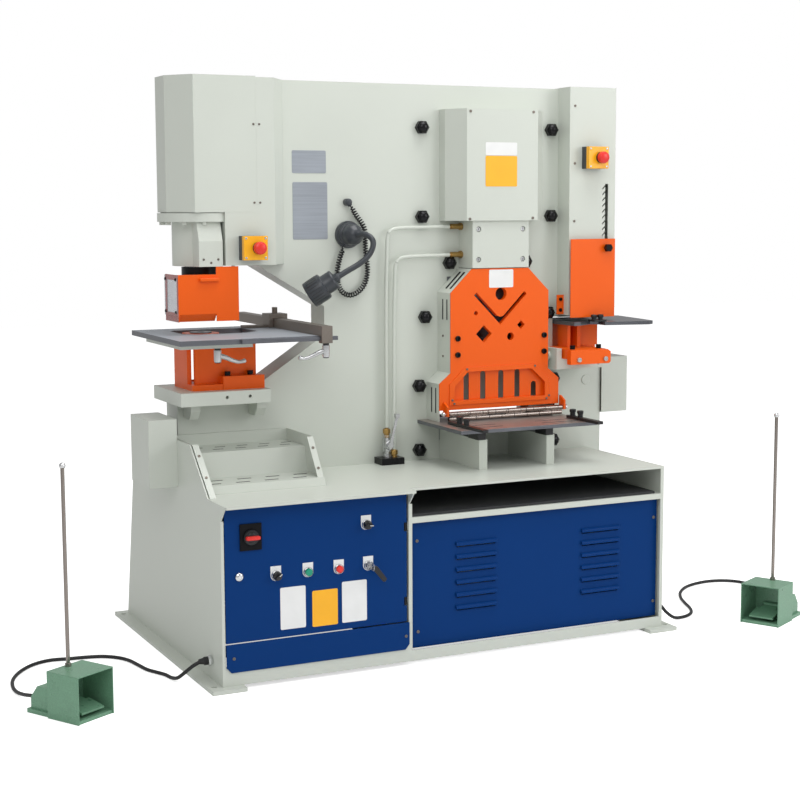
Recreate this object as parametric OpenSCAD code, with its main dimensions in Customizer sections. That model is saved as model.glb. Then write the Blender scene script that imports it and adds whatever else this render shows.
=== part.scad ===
// Hydraulic punching machine: a floor-standing ironworker with a punching
// station on the left, a section and flat-bar shear in the middle and a
// corner notcher on the right, over a cabinet with the power pack.
// +Z is up, -Y is the operator's side, and the origin lies on the floor at
// the centre of the four anchor bolts.

/* [Cabinet] */
// Width over the two side panels
cab_w = 1530; // [1500:5:1600]
// Distance from the frame's front face to the cabinet's front
cab_front = 485; // [470:5:520]
// Distance from the frame's front face to the foot of the rear panel
cab_back = 490; // [470:5:520]
// Height of the cabinet's top
cab_top = 548; // [540:1:556]
// Sheet thickness of the cabinet
sheet = 4; // [3:0.5:5]
// Thickness of the foot plates
foot_t = 12; // [8:1:16]
// How far the foot plates stand out beside the cabinet
foot_out = 40; // [36:1:50]
// Radius of the anchor holes
anchor_r = 9; // [6:0.5:11]

/* [Frame] */
// Thickness of each frame plate
plate_t = 30; // [24:1:34]
// Gap between the two frame plates, where the shear beam runs
plate_gap = 50; // [44:1:56]
// Height of the frame's top
frame_top = 1790; // [1770:5:1820]
// Height of the lower jaw, where the punch bed rests
jaw_z = 788; // [780:1:792]
// Height of the underside of the upper arm
arm_z = 1211; // [1205:1:1216]
// Depth of the throat from the lower jaw's end
throat_d = 500; // [470:5:515]

/* [Punch] */
// Distance from the cabinet's left side to the punch axis
punch_in = 134; // [131:1:138]
// Radius of the ram
ram_r = 45; // [38:1:48]
// Stroke of the punch
punch_stroke = 80; // [40:5:80]
// Radius of the punch
punch_r = 12; // [6:1:18]
// Radius of the cylinder's gland housing
gland_r = 84; // [80:1:90]
// Radius of the cylinder's mounting flange
flange_r = 128; // [124:1:130]
// Height of the top of the punching table
table_z = 1003; // [1002:0.5:1006]
// Thickness of the punching table
table_t = 16; // [12:1:18]
// Width of the punching table
table_w = 460; // [440:5:470]

/* [Shear] */
// Distance from the cabinet's left side to the middle of the shear
shear_in = 1134; // [1130:1:1138]
// Stroke of the shear beam
shear_stroke = 40; // [20:2:40]
// Depth of the shear guard in front of the frame
guard_d = 95; // [80:1:105]
// Width of the V opening's slot for angle bar
angle_slot = 13; // [8:1:16]
// Radius of the large round opening
round_big = 21; // [15:1:24]
// Height of the flat-bar shear table
flat_z = 684; // [680:1:688]
// Thickness of the flat-bar shear table
flat_t = 12; // [8:1:14]
// Number of long rollers on the pin of the hold-down flap
rollers = 3; // [2:1:5]

/* [Notcher] */
// Distance from the cabinet's left side to the middle of the notching punch
notch_in = 1500; // [1496:1:1504]
// Depth of the notcher cover in front of the frame
notch_d = 75; // [70:1:80]
// Height of the top of the notching table
notch_z = 1000; // [996:1:1002]
// Travel of the notcher guard
guard_lift = 150; // [100:5:160]

/* [Controls] */
// Opening angle of the electrical door's stay, which sets its side clearance
door_gap = 7; // [6:0.5:9]
// Width of the emergency stop boxes
estop_w = 78; // [70:1:82]
// Radius of the emergency stop buttons
estop_r = 20; // [16:1:20]

/* [Foot switches] */
// Width of the foot switch hood
hood_w = 134; // [126:1:140]
// Height of the foot switch hood
hood_h = 133; // [126:1:140]
// Height of the carrying pole's knob above the floor
pole_top = 703; // [600:5:760]
// Diameter of the foot switch cord
cord_d = 11; // [9:0.5:12]

/* [Hidden] */

$fn = 48;
eps = 0.01;
// Running clearance between flat faces that slide on each other
slip = 0.3;
// Radial clearance of a shaft in its hole
run = 0.05;

left = -cab_w / 2;
right = cab_w / 2;
frame_d = 2 * plate_t + plate_gap;
mid_y = frame_d / 2;
frame_l = left + 35;
frame_r = right + 63;
punch_x = left + punch_in;
shear_x = left + shear_in;
notch_x = left + notch_in;

// ---- helpers ----------------------------------------------------------

// Extrudes a (y, z) outline along X
module along_x(x0, x1) {
    translate([x0, 0, 0]) rotate([90, 0, 90]) linear_extrude(x1 - x0) children();
}

// Extrudes an (x, z) outline along Y
module along_y(y0, y1) {
    translate([0, y1, 0]) rotate([90, 0, 0]) linear_extrude(y1 - y0) children();
}

// Extrudes an (x, y) outline along Z
module along_z(z0, z1) {
    translate([0, 0, z0]) linear_extrude(z1 - z0) children();
}

// Box from its lowest to its highest corner
module block(a, b) {
    translate(a) cube(b - a);
}

// Round bar along X, Y or Z from one end to the other
module bar_x(x0, x1, y, z, r) {
    translate([x0, y, z]) rotate([0, 90, 0]) cylinder(h = x1 - x0, r = r);
}
module bar_y(y0, y1, x, z, r) {
    translate([x, y1, z]) rotate([90, 0, 0]) cylinder(h = y1 - y0, r = r);
}
module bar_z(z0, z1, x, y, r) {
    translate([x, y, z0]) cylinder(h = z1 - z0, r = r);
}

// Hexagon along Y, as a nut or a bolt head; f is half the width over corners
module hex_y(y0, y1, x, z, f) {
    translate([x, y1, z]) rotate([90, 0, 0]) cylinder(h = y1 - y0, r = f, $fn = 6);
}

// Pipe bent smoothly through a few points
module bent_pipe(points, r) {
    swept_tube(smooth_route(points, 4), r, 12);
}

// Points on a smooth curve through a route (Catmull-Rom), k per stretch
function curve_point(p, i, t) =
    let (n = len(p) - 1, a = p[max(i - 1, 0)], b = p[i], c = p[i + 1], d = p[min(i + 2, n)])
    0.5 * ((2 * b) + (c - a) * t + (2 * a - 5 * b + 4 * c - d) * t * t
           + (3 * b - a - 3 * c + d) * t * t * t);
function smooth_route(p, k) =
    concat([for (i = [0 : len(p) - 2], j = [0 : k - 1]) curve_point(p, i, j / k)], [p[len(p) - 1]]);

// Tube swept along a route: rings square to the path, closed at both ends
module swept_tube(route, r, sides = 8) {
    n = len(route);
    points = [for (i = [0 : n - 1])
        let (a = route[max(i - 1, 0)], b = route[min(i + 1, n - 1)],
             t = (b - a) / norm(b - a),
             side = abs(t.z) > 0.95 ? cross(t, [0, 1, 0]) : cross(t, [0, 0, 1]),
             u = side / norm(side), v = cross(u, t))
        for (s = [0 : sides - 1])
            route[i] + r * (cos(360 * s / sides) * u + sin(360 * s / sides) * v)];
    walls = [for (i = [0 : n - 2], s = [0 : sides - 1])
        let (a = i * sides + s, b = i * sides + (s + 1) % sides)
        each [[a, b, b + sides], [a, b + sides, a + sides]]];
    ends = [[for (s = [sides - 1 : -1 : 0]) s], [for (s = [0 : sides - 1]) (n - 1) * sides + s]];
    polyhedron(points, concat(walls, ends));
}

// ---- frame ------------------------------------------------------------

bed_t = 42;
bed_top = jaw_z + bed_t;
bed_l = left + 9;
bed_r = left + 302;
throat_x = frame_l + throat_d;
throat_hi = 1075;
throat_lo = 982;
mouth_x = left + 307;
arm_x = left + 275;
notch_l = notch_x - 105;
notch_hi = 1012;
notch_lo = 840;
gap_y0 = plate_t;
gap_y1 = plate_t + plate_gap;

// Windows of the frame plates round the shear cylinder, its rod and the flat-bar shear
cyl_r = 90;
cyl_z0 = 1378;
cyl_z1 = 1702;
rod_r = 38;
flat_half = 182;
flat_lo = 610;
flat_hi = 735;

// Tie bolts of the two frame plates, from the middle of the shear
tie_bolts = [[-248, 1651], [246, 1651], [-248, 1360], [246, 1360], [-146, 1206], [146, 1206],
             [-238, 1028], [238, 1028], [-260, 799], [260, 799], [-260, 583], [260, 583]];
tie_r = 12;

// Window of the frame plates and of the beam that the section blades sit in
blade_half = 152;
blade_lo = 925;
blade_hi = 1160;
insert_half = 130;
seat = 0.1;
module blade_window(half, lo, hi, g) {
    translate([shear_x - half - g, lo - g]) square([2 * (half + g), hi - lo + 2 * g]);
}

module frame_outline() {
    polygon([[frame_l, foot_t], [frame_l, jaw_z], [bed_r, jaw_z], [bed_r, bed_top],
             [throat_x, throat_lo], [throat_x, throat_hi], [mouth_x, arm_z], [arm_x, arm_z],
             [arm_x, frame_top], [frame_r, frame_top], [frame_r, notch_hi], [notch_l, notch_hi],
             [notch_l, notch_lo], [frame_r, notch_lo], [frame_r, foot_t]]);
}

// The five openings that bars are pushed through, each larger by g all round
module section_holes(g) {
    v_tip = [1, 1000];
    arm = 142;
    tongue = 20;
    root = angle_slot * sqrt(2);
    translate([shear_x, 0]) {
        translate([3, 1103]) circle(r = round_big + g);
        translate([40, 959]) circle(r = 13 + g);
        translate([-92, 1041]) circle(r = 7 + g);
        for (d = [[-62, 971, 42], [80, 997, 21]])
            translate([d[0], d[1]]) rotate(45) square(d[2] + 2 * g, center = true);
        translate(v_tip) {
            for (a = [45, 135])
                rotate(a) translate([-g, a == 45 ? -g : -angle_slot - g])
                    square([arm + 2 * g, angle_slot + 2 * g]);
            difference() {
                polygon([[0, root / 2], [-tongue / sqrt(2), root + tongue / sqrt(2)],
                         [tongue / sqrt(2), root + tongue / sqrt(2)]]);
                translate([0, root + tongue * sqrt(2)]) circle(r = tongue - g / 2);
            }
        }
    }
}

module frame_plate(y0) {
    along_y(y0, y0 + plate_t) difference() {
        frame_outline();
        translate([shear_x - cyl_r - 5, cyl_z0]) square([2 * cyl_r + 10, cyl_z1 - cyl_z0]);
        translate([shear_x - rod_r - 6, 1215]) square([2 * rod_r + 12, cyl_z0 - 1215 + 1]);
        translate([shear_x - flat_half, flat_lo]) square([2 * flat_half, flat_hi - flat_lo]);
        for (b = tie_bolts) translate([shear_x + b[0], b[1]]) circle(r = tie_r + 0.5);
        blade_window(blade_half, blade_lo, blade_hi, 0);
    }
}

module front_frame_plate() color("gainsboro") frame_plate(0);
module rear_frame_plate() color("gainsboro") frame_plate(gap_y1);

// Liner strips welded between the plates, each one drawn in a little all round
module strip(p) {
    offset(delta = -seat) polygon(p);
}

// Liners and bars between the plates, and the tie bolts with their nuts
module frame_spacers() {
    liner = 25;
    nut_h = 18;
    nut_r = 23;
    color("gainsboro") along_y(gap_y0, gap_y1) {
        strip([[frame_l, foot_t], [frame_l + liner, foot_t], [frame_l + liner, jaw_z - liner],
               [frame_l, jaw_z]]);
        strip([[frame_l, jaw_z], [frame_l + liner, jaw_z - liner], [bed_r + liner, jaw_z - liner],
               [bed_r, jaw_z]]);
        strip([[bed_r, jaw_z], [bed_r + liner, jaw_z - liner], [throat_x + liner, throat_lo - 15],
               [throat_x, throat_lo], [bed_r, bed_top]]);
        strip([[throat_x, throat_lo], [throat_x + liner, throat_lo - 15],
               [throat_x + liner, throat_hi + 15], [throat_x, throat_hi]]);
        strip([[throat_x, throat_hi], [throat_x + liner, throat_hi + 15],
               [mouth_x + 7, arm_z + liner + 4], [mouth_x, arm_z]]);
        strip([[mouth_x, arm_z], [mouth_x + 7, arm_z + liner + 4], [arm_x, arm_z + liner],
               [arm_x, arm_z]]);
        for (q = [[arm_x, frame_top - 50, frame_r, frame_top],
                  [frame_r - liner, 1260, frame_r, frame_top - 50],
                  [notch_l - 6, notch_lo, notch_l, notch_hi],
                  [notch_l - 6, notch_lo - liner, frame_r, notch_lo],
                  [frame_r - liner, foot_t, frame_r, notch_lo - liner],
                  [shear_x - flat_half, 540, shear_x + flat_half, 600]])
            strip([[q[0], q[1]], [q[2], q[1]], [q[2], q[3]], [q[0], q[3]]]);
    }
    color("black") for (b = tie_bolts) {
        bar_y(seat, frame_d - seat, shear_x + b[0], b[1], tie_r);
        for (y = [-nut_h, frame_d])
            hex_y(y, y + nut_h, shear_x + b[0], b[1], nut_r);
    }
}

// ---- cabinet ----------------------------------------------------------

foot_in = 105;
foot_half = 515;
anchor_x = right + foot_out / 2 + 2;
anchor_y = 470;
divider_x = left + 600;
back_top = cab_back - 110;

module foot_plates() color("gainsboro") for (side = [-1, 1]) difference() {
    block([side < 0 ? left - foot_out : right + foot_out - foot_in, -foot_half, 0],
          [side < 0 ? left - foot_out + foot_in : right + foot_out, foot_half, foot_t]);
    for (y = [-anchor_y, anchor_y])
        bar_z(-1, foot_t + 1, side * anchor_x, y, anchor_r);
}

// Side profile in (y, z): upright front, visor that leans out, flat top and leaning back
visor_out = 45;
visor_z = 500;
rack_y = 220;
rack_top = 687;
rack_foot = 320;
side_foot = 378;

module side_profile(with_rack) {
    polygon(concat(
        [[-cab_front, foot_t], [-cab_front, visor_z]],
        with_rack ? [[-cab_front - visor_out, cab_top], [-side_foot, cab_top], [-rack_y, rack_top], [130, rack_top], [130, cab_top]]
                  : [[-cab_front, cab_top]],
        [[back_top, cab_top], [cab_back, foot_t]]));
}

module cabinet_sides() color("gainsboro") {
    along_x(left, left + sheet) side_profile(true);
    along_x(right - sheet, right) difference() {
        side_profile(false);
        square([frame_d, cab_top + 1]);
    }
    block([left + sheet - eps, -cab_front, foot_t], [left + 10, -cab_front + sheet, visor_z]);
    block([right - 12, -cab_front, foot_t],
          [right - sheet + eps, -cab_front + sheet, cab_top - lip]);
    // gland bushes of the two foot switch cords
    for (side = [-1, 1])
        bar_x(side < 0 ? left - gland_out : right - eps, side < 0 ? left + eps : right + gland_out,
              gland_y, gland_z, 11);
}

lip = 8;
shelf_z = 458;
panel_y = cab_front - 19;

// Bulkhead between the two compartments, rails, shelf and the panel's stops
module cabinet_front() color("gainsboro") {
    along_x(divider_x, divider_x + sheet) polygon([
        [-cab_front + sheet - eps, foot_t], [0, foot_t], [0, cab_top - sheet],
        [-cab_front - visor_out + 6 + seat, cab_top - sheet], [-cab_front, visor_z],
        [-cab_front + sheet - eps, visor_z]]);
    block([divider_x, -cab_front, foot_t], [divider_x + 12, -cab_front + sheet, visor_z]);
    for (z = [[foot_t, 46], [440, shelf_z]])
        block([divider_x + 12 - eps, -cab_front, z[0]], [right - 12, -cab_front + sheet, z[1]]);
    block([divider_x + sheet - eps, -cab_front + sheet, shelf_z - sheet], [right - sheet, -20, shelf_z]);
    block([divider_x + sheet - eps, -panel_y + 3, 58 - sheet], [right - sheet, -20, 58]);
    block([left + 10, -cab_front, foot_t], [divider_x + eps, -cab_front + sheet, 70]);
    block([left + 10, -cab_front, 100], [divider_x + eps, -cab_front + sheet, 134]);
    for (x = [divider_x + sheet - eps, right - 40])
        block([x, -panel_y + 3, 58 - eps], [x + 30, -panel_y + 6, shelf_z - sheet + eps]);
    // hinge pins of the electrical door
    for (z = hinge_zs) {
        block([hinge_x - 4, hinge_y, z], [divider_x + eps, hinge_y + 8, z + 24]);
        bar_z(z, z + 56, hinge_x, hinge_y, 3);
    }
}

module cabinet_sheets() color("gainsboro") {
    // folded tops: one with a visor over the door, one flush over the open shelf
    for (t = [[left + sheet, divider_x + sheet, -cab_front - visor_out],
              [divider_x + sheet - eps, right - sheet, -cab_front]]) {
        block([t[0], t[2] + 6, cab_top - sheet], [t[1], 0, cab_top]);
        block([t[0], t[2], cab_top - lip], [t[1], t[2] + 6 + eps, cab_top]);
    }
    block([left + sheet, frame_d, cab_top - sheet], [right - sheet, back_top, cab_top]);
    along_x(left + sheet, right - sheet)
        polygon([[cab_back, foot_t], [back_top, cab_top], [back_top - sheet, cab_top],
                 [back_top - sheet, cab_top - 8], [cab_back - sheet, foot_t]]);
}

module rubber_mat() color("dimgray")
    block([divider_x + 14, -cab_front + 8, shelf_z], [right - 30, -40, shelf_z + 8]);

// One pressed louvre: a half-round hood along X, open at its lower edge
module louvre(x, z, len) {
    h = 9;
    intersection() {
        difference() {
            bar_x(x, x + len, -panel_y + 4, z, 14);
            bar_x(x + 4, x + len - 4, -panel_y + 4, z, 12.5);
        }
        block([x, -panel_y - h, z], [x + len, -panel_y + eps, z + 14]);
    }
}

louvre_rows = 6;
louvre_pitch = 40;
louvre_len = 145;
louvre_cols = [divider_x + 170, right - 305];

module fixed_panels() color("midnightblue") {
    difference() {
        block([divider_x + 14, -panel_y, 46.3], [right - 13, -panel_y + 3, 438]);
        for (x = louvre_cols, i = [0 : louvre_rows - 1])
            block([x + 4, -panel_y - 1, 152 + i * louvre_pitch - 5],
                  [x + louvre_len - 4, -panel_y + 4, 152 + i * louvre_pitch + 6]);
    }
    for (x = louvre_cols, i = [0 : louvre_rows - 1])
        louvre(x, 152 + i * louvre_pitch, louvre_len);
    along_y(-cab_front - 4, -cab_front)
        polygon([[left + 12, 68], [left + 26, 52], [divider_x - 14, 52], [divider_x, 68],
                 [divider_x, 136], [left + 12, 136]]);
}

rack_x0 = left + 8;
rack_x1 = left + 400;
rack_t = 3;

// Folded tool rack: two stepped shelves with staggered slots between sloped ends
module tool_rack() color("gainsboro") {
    hi = 650;
    lo = 572;
    difference() {
        along_x(rack_x0, rack_x1) polygon([
            [-rack_foot, cab_top], [-rack_foot + 10, lo], [-178, lo], [-160, hi], [-8, hi],
            [-8, rack_top], [0, rack_top], [0, hi - rack_t], [-158, hi - rack_t],
            [-176, lo - rack_t], [-rack_foot + 13, lo - rack_t], [-rack_foot + 3, cab_top]]);
        for (i = [0 : 4], j = [0, 1])
            block([rack_x0 + 30 + i * 74 + j * 22, -112 + j * 46, hi - 20],
                  [rack_x0 + 66 + i * 74 + j * 22, -98 + j * 46, hi + 20]);
        for (i = [0 : 3], j = [0, 1])
            block([rack_x0 + 26 + i * 92 + j * 24, -280 + j * 55, lo - 20],
                  [rack_x0 + 72 + i * 92 + j * 24, -266 + j * 55, lo + 20]);
    }
    // end plates, and the sloped face strips that the rack is screwed on by
    steps = [[-rack_y, rack_top], [0, rack_top], [0, hi - eps], [-159, hi - eps], [-177, lo - eps]];
    along_x(rack_x0, rack_x0 + rack_t)
        polygon(concat([[-side_foot, cab_top]], steps,
                       [[-rack_foot + 11, lo - eps], [-rack_foot + 1, cab_top]]));
    along_x(rack_x1 - rack_t, rack_x1) polygon(concat([[-rack_foot + 17, lo - eps]], steps));
    for (e = [[rack_x0, -side_foot, cab_top], [rack_x1 - 20, -rack_foot + 17, lo - eps]])
        along_x(e[0], e[0] + 20) polygon([[e[1], e[2]], [-rack_y, rack_top],
                                          [-rack_y + 3, rack_top - 1], [e[1] + 4, e[2]]]);
}

// Sheet covers on the two outer sides of the frame, open towards it
side_box_z = 668;

module side_boxes() color("gainsboro") {
    difference() {
        block([left - 90, -100, 541], [left, 88, 751]);
        block([left - 87, -97, 544], [left + 1, 85, 748]);
    }
    difference() {
        block([frame_r, -10, side_box_z], [frame_r + 106, frame_d + 10, 864]);
        block([frame_r - 1, -7, side_box_z + 3], [frame_r + 103, frame_d + 7, 861]);
    }
}

// ---- punching station -------------------------------------------------

head_d = 75;
gland_z0 = 1212;
flange_z0 = 1349;
flange_z1 = 1376;
hood_r = left + 282;
cheek_l = left + 176;
cheek_r = left + 342;
plinth_t = 34;
guard_pin_x = left + 205;
guard_pin_y = -62;
pin_r = 6;

// Plan of the head's hood, drawn in by s all round
module hood_plan(s) {
    polygon([[hood_r, -head_d + s], [left + 80 + s * 0.6, -head_d + s], [left + 16 + s, 10 + s * 0.4],
             [left + 16 + s, frame_d - 10 - s * 0.4], [left + 80 + s * 0.6, frame_d + head_d - s],
             [hood_r, frame_d + head_d - s]]);
}

// Plan of one cheek in front of or behind the frame plates
module cheek_plan(x0) {
    polygon([[x0, 0], [x0, -head_d], [cheek_r, -head_d], [left + 398, 0]]);
}

// Welded head: two cheeks on the plates and the plate that carries the cylinder
module head_box() color("gainsboro") {
    difference() {
        union() for (side = [0, 1]) translate([0, side * frame_d, 0]) mirror([0, side, 0]) {
            along_z(arm_z + 3, cyl_z0) cheek_plan(cheek_l);
            along_z(cyl_z0 - eps, frame_top) cheek_plan(hood_r);
        }
        bar_z(arm_z, flange_z0, punch_x, mid_y, gland_r + 0.5);
        bar_z(flange_z0 - eps, cyl_z0 + eps, punch_x, mid_y, flange_r + 0.5);
    }
    difference() {
        along_z(flange_z1, flange_z1 + plinth_t) intersection() {
            hood_plan(8);
            translate([left, -head_d]) square([arm_x - left, frame_d + 2 * head_d]);
        }
        bar_z(flange_z1 - 1, flange_z1 + plinth_t + 1, punch_x, mid_y, cyl_r + 0.5);
        block([cheek_l - 2, -head_d - 1, flange_z1 - 1], [arm_x + 1, 0, cyl_z0 + 0.5]);
        block([cheek_l - 2, frame_d, flange_z1 - 1], [arm_x + 1, frame_d + head_d + 1, cyl_z0 + 0.5]);
    }
    bar_z(arm_z - 90, arm_z + 4, guard_pin_x, guard_pin_y, pin_r);
}

// Cylinder barrel, flange with its bolts, gland housing and nose
module punch_cylinder() color("gainsboro") difference() {
    union() {
        bar_z(flange_z1 - eps, 1740, punch_x, mid_y, cyl_r);
        bar_z(flange_z0, flange_z1, punch_x, mid_y, flange_r);
        bar_z(gland_z0, flange_z0 + eps, punch_x, mid_y, gland_r);
        for (a = [100 : 32 : 260])
            translate([punch_x + 113 * cos(a), mid_y + 113 * sin(a), flange_z0 - 10])
                cylinder(h = 10 + eps, r = 9, $fn = 6);
        along_x(left + 90, left + 167)
            polygon([[-head_d, gland_z0], [-head_d, gland_z0 + 78], [-head_d + 20, flange_z0],
                     [mid_y - 70, flange_z0], [mid_y - 70, gland_z0]]);
    }
    bar_z(gland_z0 - 1, 1700, punch_x, mid_y, ram_r + run);
    for (s = [[-24, 22], [0, 12], [23, 22]])
        bar_y(-head_d - 1, -head_d + 6, left + 129 + s[0], gland_z0 + s[1], 3.5);
}

module cylinder_hood() color("gainsboro") {
    difference() {
        along_z(cyl_z0, frame_top + 3) hood_plan(0);
        along_z(cyl_z0 - 1, frame_top) intersection() {
            hood_plan(3);
            translate([left, -head_d]) square([hood_r - left + 5, frame_d + 2 * head_d]);
        }
        along_z(cyl_z0 - 1, frame_top) translate([hood_r - 1, -head_d + 3])
            square([5, frame_d + 2 * head_d - 6]);
    }
}

bed_y0 = -120;
support_l = left + 60;
support_r = left + 281;
support_top = table_z - table_t - 16;

// Bed plate on the lower jaw with two hooks, the plate under the punching table
// and the bed of the notcher
module bed_blocks() color("gainsboro") {
    difference() {
        block([left + 1346, -110, notch_lo], [left + 1528, 0, notch_lo + 36]);
        bar_y(-111, -104, left + 1514, notch_lo + 18, 8);
    }
    block([left + 1346, -110, notch_lo + 36 - eps], [left + 1366, 0, notch_lo + 71]);
    bar_x(left + 1336, left + 1346 + eps, -60, notch_lo + 46, 14);
    difference() {
        block([bed_l, bed_y0, jaw_z], [bed_r, frame_d + 48, bed_top]);
        bar_z(jaw_z - 1, bed_top + 1, punch_x, mid_y, 22);
        for (x = [left + 158, left + 233]) bar_y(bed_y0 - 1, bed_y0 + 20, x, jaw_z + 23, 5);
    }
    for (x = [left + 55, left + 271])
        along_x(x, x + 30) polygon([[0, jaw_z], [-75, jaw_z], [-75, jaw_z - 23], [-55, jaw_z - 48],
                                    [0, jaw_z - 48]]);
    difference() {
        block([left - 15, -200, support_top], [left + 214, 150, table_z - table_t]);
        bar_z(support_top - 1, table_z, punch_x, mid_y, 62);
    }
}

// Orange die support: foot flange, bolting block, box walls and a top plate
module die_support() color("orangered") {
    difference() {
        union() {
            block([support_l, -78, bed_top], [left + 296, frame_d - 10, bed_top + 18]);
            block([left + 160, -80, bed_top], [left + 296, -45, bed_top + 42]);
            block([left + 80, -45, bed_top], [support_r, -31, support_top]);
            block([support_l, -28, bed_top], [support_l + 14, frame_d - 10, support_top]);
            block([support_r - 14, -32, bed_top], [support_r, frame_d - 10, support_top]);
            block([support_l, -45, support_top - 14], [support_r, frame_d - 10, support_top]);
        }
        bar_z(bed_top - 1, support_top - 13, punch_x, mid_y, 40);
        bar_z(support_top - 15, support_top + 1, punch_x, mid_y, die_r - 8);
    }
    difference() {
        bar_z(support_top, table_z - 3, punch_x, mid_y, 58);
        bar_z(support_top - 1, table_z, punch_x, mid_y, die_r + run);
    }
    color("black") for (x = [left + 180, left + 255])
        bar_z(bed_top + 42, bed_top + 56, x, -62, 9);
}

die_r = 35;

// Die ring with a stepped and clearing bore for slugs, and the fixed blades
module tool_steel() color("dimgray") {
    difference() {
        bar_z(support_top, table_z, punch_x, mid_y, die_r);
        bar_z(table_z - 6, table_z + 1, punch_x, mid_y, punch_r + 0.6);
        bar_z(support_top - 1, table_z - 6 + eps, punch_x, mid_y, punch_r + 2.5);
    }
    for (y = [0, gap_y1]) {
        block([shear_x - flat_half, y, flat_lo], [shear_x + flat_half, y + plate_t, flat_z - 1]);
        along_y(y, y + plate_t) difference() {
            blade_window(blade_half, blade_lo, blade_hi, -seat);
            section_holes(2);
        }
    }
}

table_l = left - 40;
table_r = table_l + table_w;
table_y0 = -270;
table_y1 = 225;
rail_top = table_z - 2;
rail_bar = [-284, table_y0, 12];

module punch_table() color("dimgray") {
    difference() {
        block([table_l, table_y0, table_z - table_t], [table_r, table_y1, table_z]);
        along_z(table_z - table_t - 1, table_z + 1)
            polygon([[left + 90, -45], [left + 250, -45], [left + 304, 0], [left + 304, 145],
                     [left + 75, 145], [left + 55, 120], [left + 55, -10]]);
    }
    // guide bar on the front edge, which carries the fence
    block([left + 150, rail_bar[0], rail_top - rail_bar[2]],
          [left + 460, rail_bar[1] + eps, rail_top]);
}

// ---- fence on the punching table --------------------------------------

fence_l = left + 402;
fence_w = 35;
rail_z = table_z + slip;
rail_h = 30;

head_y = -296;
head_z = table_z - table_t - 6;
fence_back = 480;

module fence() color("saddlebrown") {
    difference() {
        block([fence_l, head_y, head_z], [fence_l + fence_w, table_y0 - slip, rail_z + rail_h]);
        block([fence_l - 1, rail_bar[0] - slip, rail_top - rail_bar[2] - slip],
              [fence_l + fence_w + 1, table_y0 + 1, rail_top + slip]);
    }
    block([fence_l, table_y0 - 1, rail_z], [fence_l + fence_w, fence_back, rail_z + rail_h]);
}

stop_y = 110;
module fence_stop() color("dimgray") {
    difference() {
        block([fence_l - 14, stop_y, rail_z + slip],
              [fence_l + fence_w + 14, stop_y + 66, rail_z + rail_h + 14]);
        block([fence_l - slip, stop_y - 1, rail_z - 1],
              [fence_l + fence_w + slip, stop_y + 67, rail_z + rail_h + slip]);
        block([fence_l - 2, stop_y - 1, rail_z - 1], [fence_l + fence_w + 20, stop_y + 67, rail_z + 6]);
    }
    block([fence_l - 95, stop_y + 10, rail_z + slip], [fence_l - 13, stop_y + 52, rail_z + 8]);
    bar_z(rail_z + rail_h + 14, rail_z + rail_h + 34, fence_l + fence_w / 2, stop_y + 33, 9);
}

// Cranked clamping lever: hub on a vertical axis and a curved arm that drops
module clamp_lever(turn) {
    bar_z(-44, 0, 0, 0, 9);
    rotate(turn) swept_tube(smooth_route([[6, 0, -18], [30, 0, -28], [56, 0, -37], [86, 0, -36]], 3),
                            6, 10);
}
lever_l = [left + 106, -185, support_top];
lever_r = [fence_l + 18, -283, head_z];

module clamp_lever_left() color("silver") translate(lever_l - [0, 0, slip]) clamp_lever(0);
module clamp_lever_right() color("silver") translate(lever_r - [0, 0, slip]) clamp_lever(180);

// ---- punch ram and swing guard ----------------------------------------

nut_z0 = 1182;

module punch_ram() {
    color("silver") bar_z(nut_z0 + 26, 1500, punch_x, mid_y, ram_r);
    color("black") bar_z(nut_z0, nut_z0 + 26, punch_x, mid_y, 56);
    color("dimgray") {
        bar_z(1120, nut_z0, punch_x, mid_y, 28);
        bar_z(table_z + 45, 1120, punch_x, mid_y, punch_r);
    }
}

swing_l = left + 21;
swing_r = left + 217;
swing_t = 3;

// Folded guard round the punch: front, side with a window, return and hinge strip
module punch_guard() color("orangered") {
    z0 = 1044;
    z1 = 1188;
    along_x(swing_l, left + 144) polygon([
        [-head_d, 1067], [-head_d, z1], [-head_d + 25, z1], [-head_d + 25, z1 - swing_t],
        [-head_d + swing_t, z1 - swing_t], [-head_d + swing_t, 1068], [-head_d + 23, z0],
        [-head_d + 20, z0]]);
    difference() {
        block([swing_l, -head_d, z0], [swing_l + swing_t, 53, z1]);
        block([swing_l - 1, -head_d + 14, 1072], [swing_l + swing_t + 1, 38, z1 - 16]);
    }
    color("lightgray", 0.4)
        block([swing_l - 3, -head_d + 2, 1062], [swing_l, 51, z1 - 2]);
    block([left + 144 - eps, -head_d, z0], [swing_r, -head_d + swing_t, 1212]);
    difference() {
        union() {
            bar_z(1130, 1207, guard_pin_x, guard_pin_y, 10);
            block([guard_pin_x - 6, -head_d + swing_t - eps, 1130],
                  [guard_pin_x + 6, guard_pin_y, 1207]);
        }
        bar_z(1129, 1208, guard_pin_x, guard_pin_y, pin_r + run);
    }
}

// ---- shear ------------------------------------------------------------

// Front outline of the shear guard in (x, z), drawn in by s all round
function guard_outline(s) = [
    [-229 + s, 722 + s], [-229 + s, 811 - s * 0.4], [-187 + s, 845 - s * 0.4],
    [-187 + s, 1110 - s * 0.4], [-107 + s * 0.4, 1188 - s], [107 - s * 0.4, 1188 - s],
    [187 - s, 1110 - s * 0.4], [187 - s, 845 - s * 0.4], [229 - s, 811 - s * 0.4],
    [229 - s, 722 + s]];

win = [[-173, 752], [-173, 799], [-123, 847], [122, 847], [174, 799], [174, 752]];
flap_z = 711;
flap_y = -guard_d - 16;
flap_r = 8;
flap_x0 = shear_x - 205;
flap_x1 = shear_x + 232;

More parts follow.
